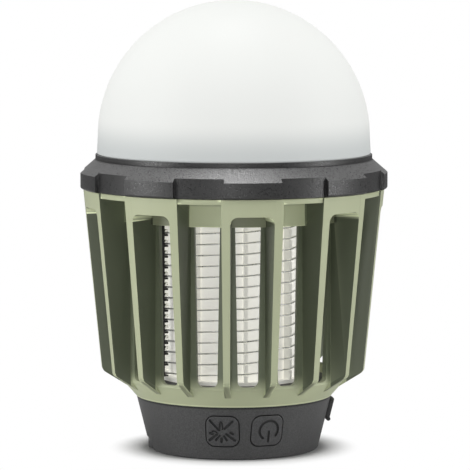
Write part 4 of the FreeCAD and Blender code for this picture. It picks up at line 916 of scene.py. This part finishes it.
# Photograph: its width and the lamp's axis in it, in pixels, the eye and the point it looks at on the
# axis, and the lens and sensor in millimetres.
PHOTO_WIDTH = 470
AXIS_PIXEL = 233.8
EYE_DISTANCE = 0.900
EYE_HEIGHT = 0.147
EYE_AZIMUTH = -7.0
AIM_HEIGHT = 0.0613
SENSOR = 36.0
LENS = 241.3


def mixed_shader(tree, factor, first, second):
    """A shader between two."""
    node = tree.nodes.new("ShaderNodeMixShader")
    for value, socket in zip((factor, first, second), node.inputs):
        tree.links.new(value, socket)
    return node.outputs[0]


def floor_material():
    """Pale and matt to the eye, with a painted shadow round the base and white from a radius on; one even
    tone for the light that it throws back; clear from below."""
    material, tree, shader = new_material("pale floor")
    tree.nodes.remove(shader)
    distance = vector_maths(tree, "LENGTH", coordinate(tree, "Object"))
    # A painted shadow: the floor is darker inside a radius round the base.
    open_floor = spread(tree, distance, PAINTED_SHADOW_NEAR, PAINTED_SHADOW_FAR)
    matt = tree.nodes.new("ShaderNodeBsdfDiffuse")
    tone = blended(tree, open_floor, (PAINTED_SHADOW_TONE,) * 3, (FLOOR_TONE,) * 3)
    tree.links.new(tone, matt.inputs["Color"])
    bounce = tree.nodes.new("ShaderNodeBsdfDiffuse")
    bounce.inputs["Color"].default_value = (FLOOR_BOUNCE, FLOOR_BOUNCE, FLOOR_BOUNCE, 1.0)
    white = tree.nodes.new("ShaderNodeEmission")
    clear = tree.nodes.new("ShaderNodeBsdfTransparent")
    eye_ray = tree.nodes.new("ShaderNodeLightPath").outputs["Is Camera Ray"]
    from_below = tree.nodes.new("ShaderNodeNewGeometry").outputs["Backfacing"]
    faded = spread(tree, distance, FLOOR_NEAR, FLOOR_FAR)
    shown = mixed_shader(tree, faded, matt.outputs[0], white.outputs[0])
    upper = mixed_shader(tree, eye_ray, bounce.outputs[0], shown)
    surface = mixed_shader(tree, from_below, upper, clear.outputs[0])
    tree.links.new(surface, tree.nodes["Material Output"].inputs["Surface"])
    return material


def pale_floor():
    """A wide floor just under the lamp."""
    half, low = FLOOR_HALF, -FLOOR_GAP
    points = np.array([[-half, -half, low], [half, -half, low], [half, half, low], [-half, half, low]])
    floor = new_piece("floor", points, np.array([[0, 1, 2, 3]]))
    floor.data.materials.append(floor_material())


def white_world():
    """An even room: white to the eye and through clear pieces, dimmer in reflections, and faint as light."""
    world = bpy.data.worlds.new("pale room")
    world.use_nodes = True
    tree = world.node_tree
    path = tree.nodes.new("ShaderNodeLightPath").outputs
    seen = maths(tree, "MAXIMUM", path["Is Camera Ray"], path["Is Transmission Ray"])
    glossy = product(tree, path["Is Glossy Ray"], MIRRORED_ROOM)
    level = maths(tree, "MAXIMUM", maths(tree, "MAXIMUM", seen, glossy), ROOM_LEVEL)
    background = tree.nodes["Background"]
    background.inputs["Color"].default_value = (1.0, 1.0, 1.0, 1.0)
    tree.links.new(level, background.inputs["Strength"])
    bpy.context.scene.world = world


def aimed(name, data, azimuth, distance, height, aim_height):
    """An object at an azimuth, a distance and a height, turned to face a point of the lamp's axis."""
    item = bpy.data.objects.new(name, data)
    place = Vector(direction(azimuth) * distance) + Vector((0.0, 0.0, height))
    item.location = place
    item.rotation_euler = (Vector((0.0, 0.0, aim_height)) - place).to_track_quat("-Z", "Y").to_euler()
    bpy.context.scene.collection.objects.link(item)
    return item


def softbox(name, azimuth, distance, height, width, tall, power):
    """A rectangular area lamp that faces the middle of the lamp."""
    light = bpy.data.lights.new(name, "AREA")
    light.shape = "RECTANGLE"
    light.size = width
    light.size_y = tall
    light.energy = power
    aimed(name, light, azimuth, distance, height, LIT_HEIGHT)


def photo_camera():
    """The camera of the photograph: a long lens a little above the lamp and to the left of its front."""
    camera = bpy.data.cameras.new("photo camera")
    camera.sensor_width = SENSOR
    camera.lens = LENS
    camera.shift_x = (PHOTO_WIDTH / 2 - AXIS_PIXEL) / PHOTO_WIDTH
    eye = aimed("photo camera", camera, EYE_AZIMUTH, EYE_DISTANCE, EYE_HEIGHT, AIM_HEIGHT)
    bpy.context.scene.camera = eye


pale_floor()
white_world()
for row in SOFTBOXES:
    softbox(*row)
photo_camera()
bpy.context.scene.view_settings.view_transform = "Standard"
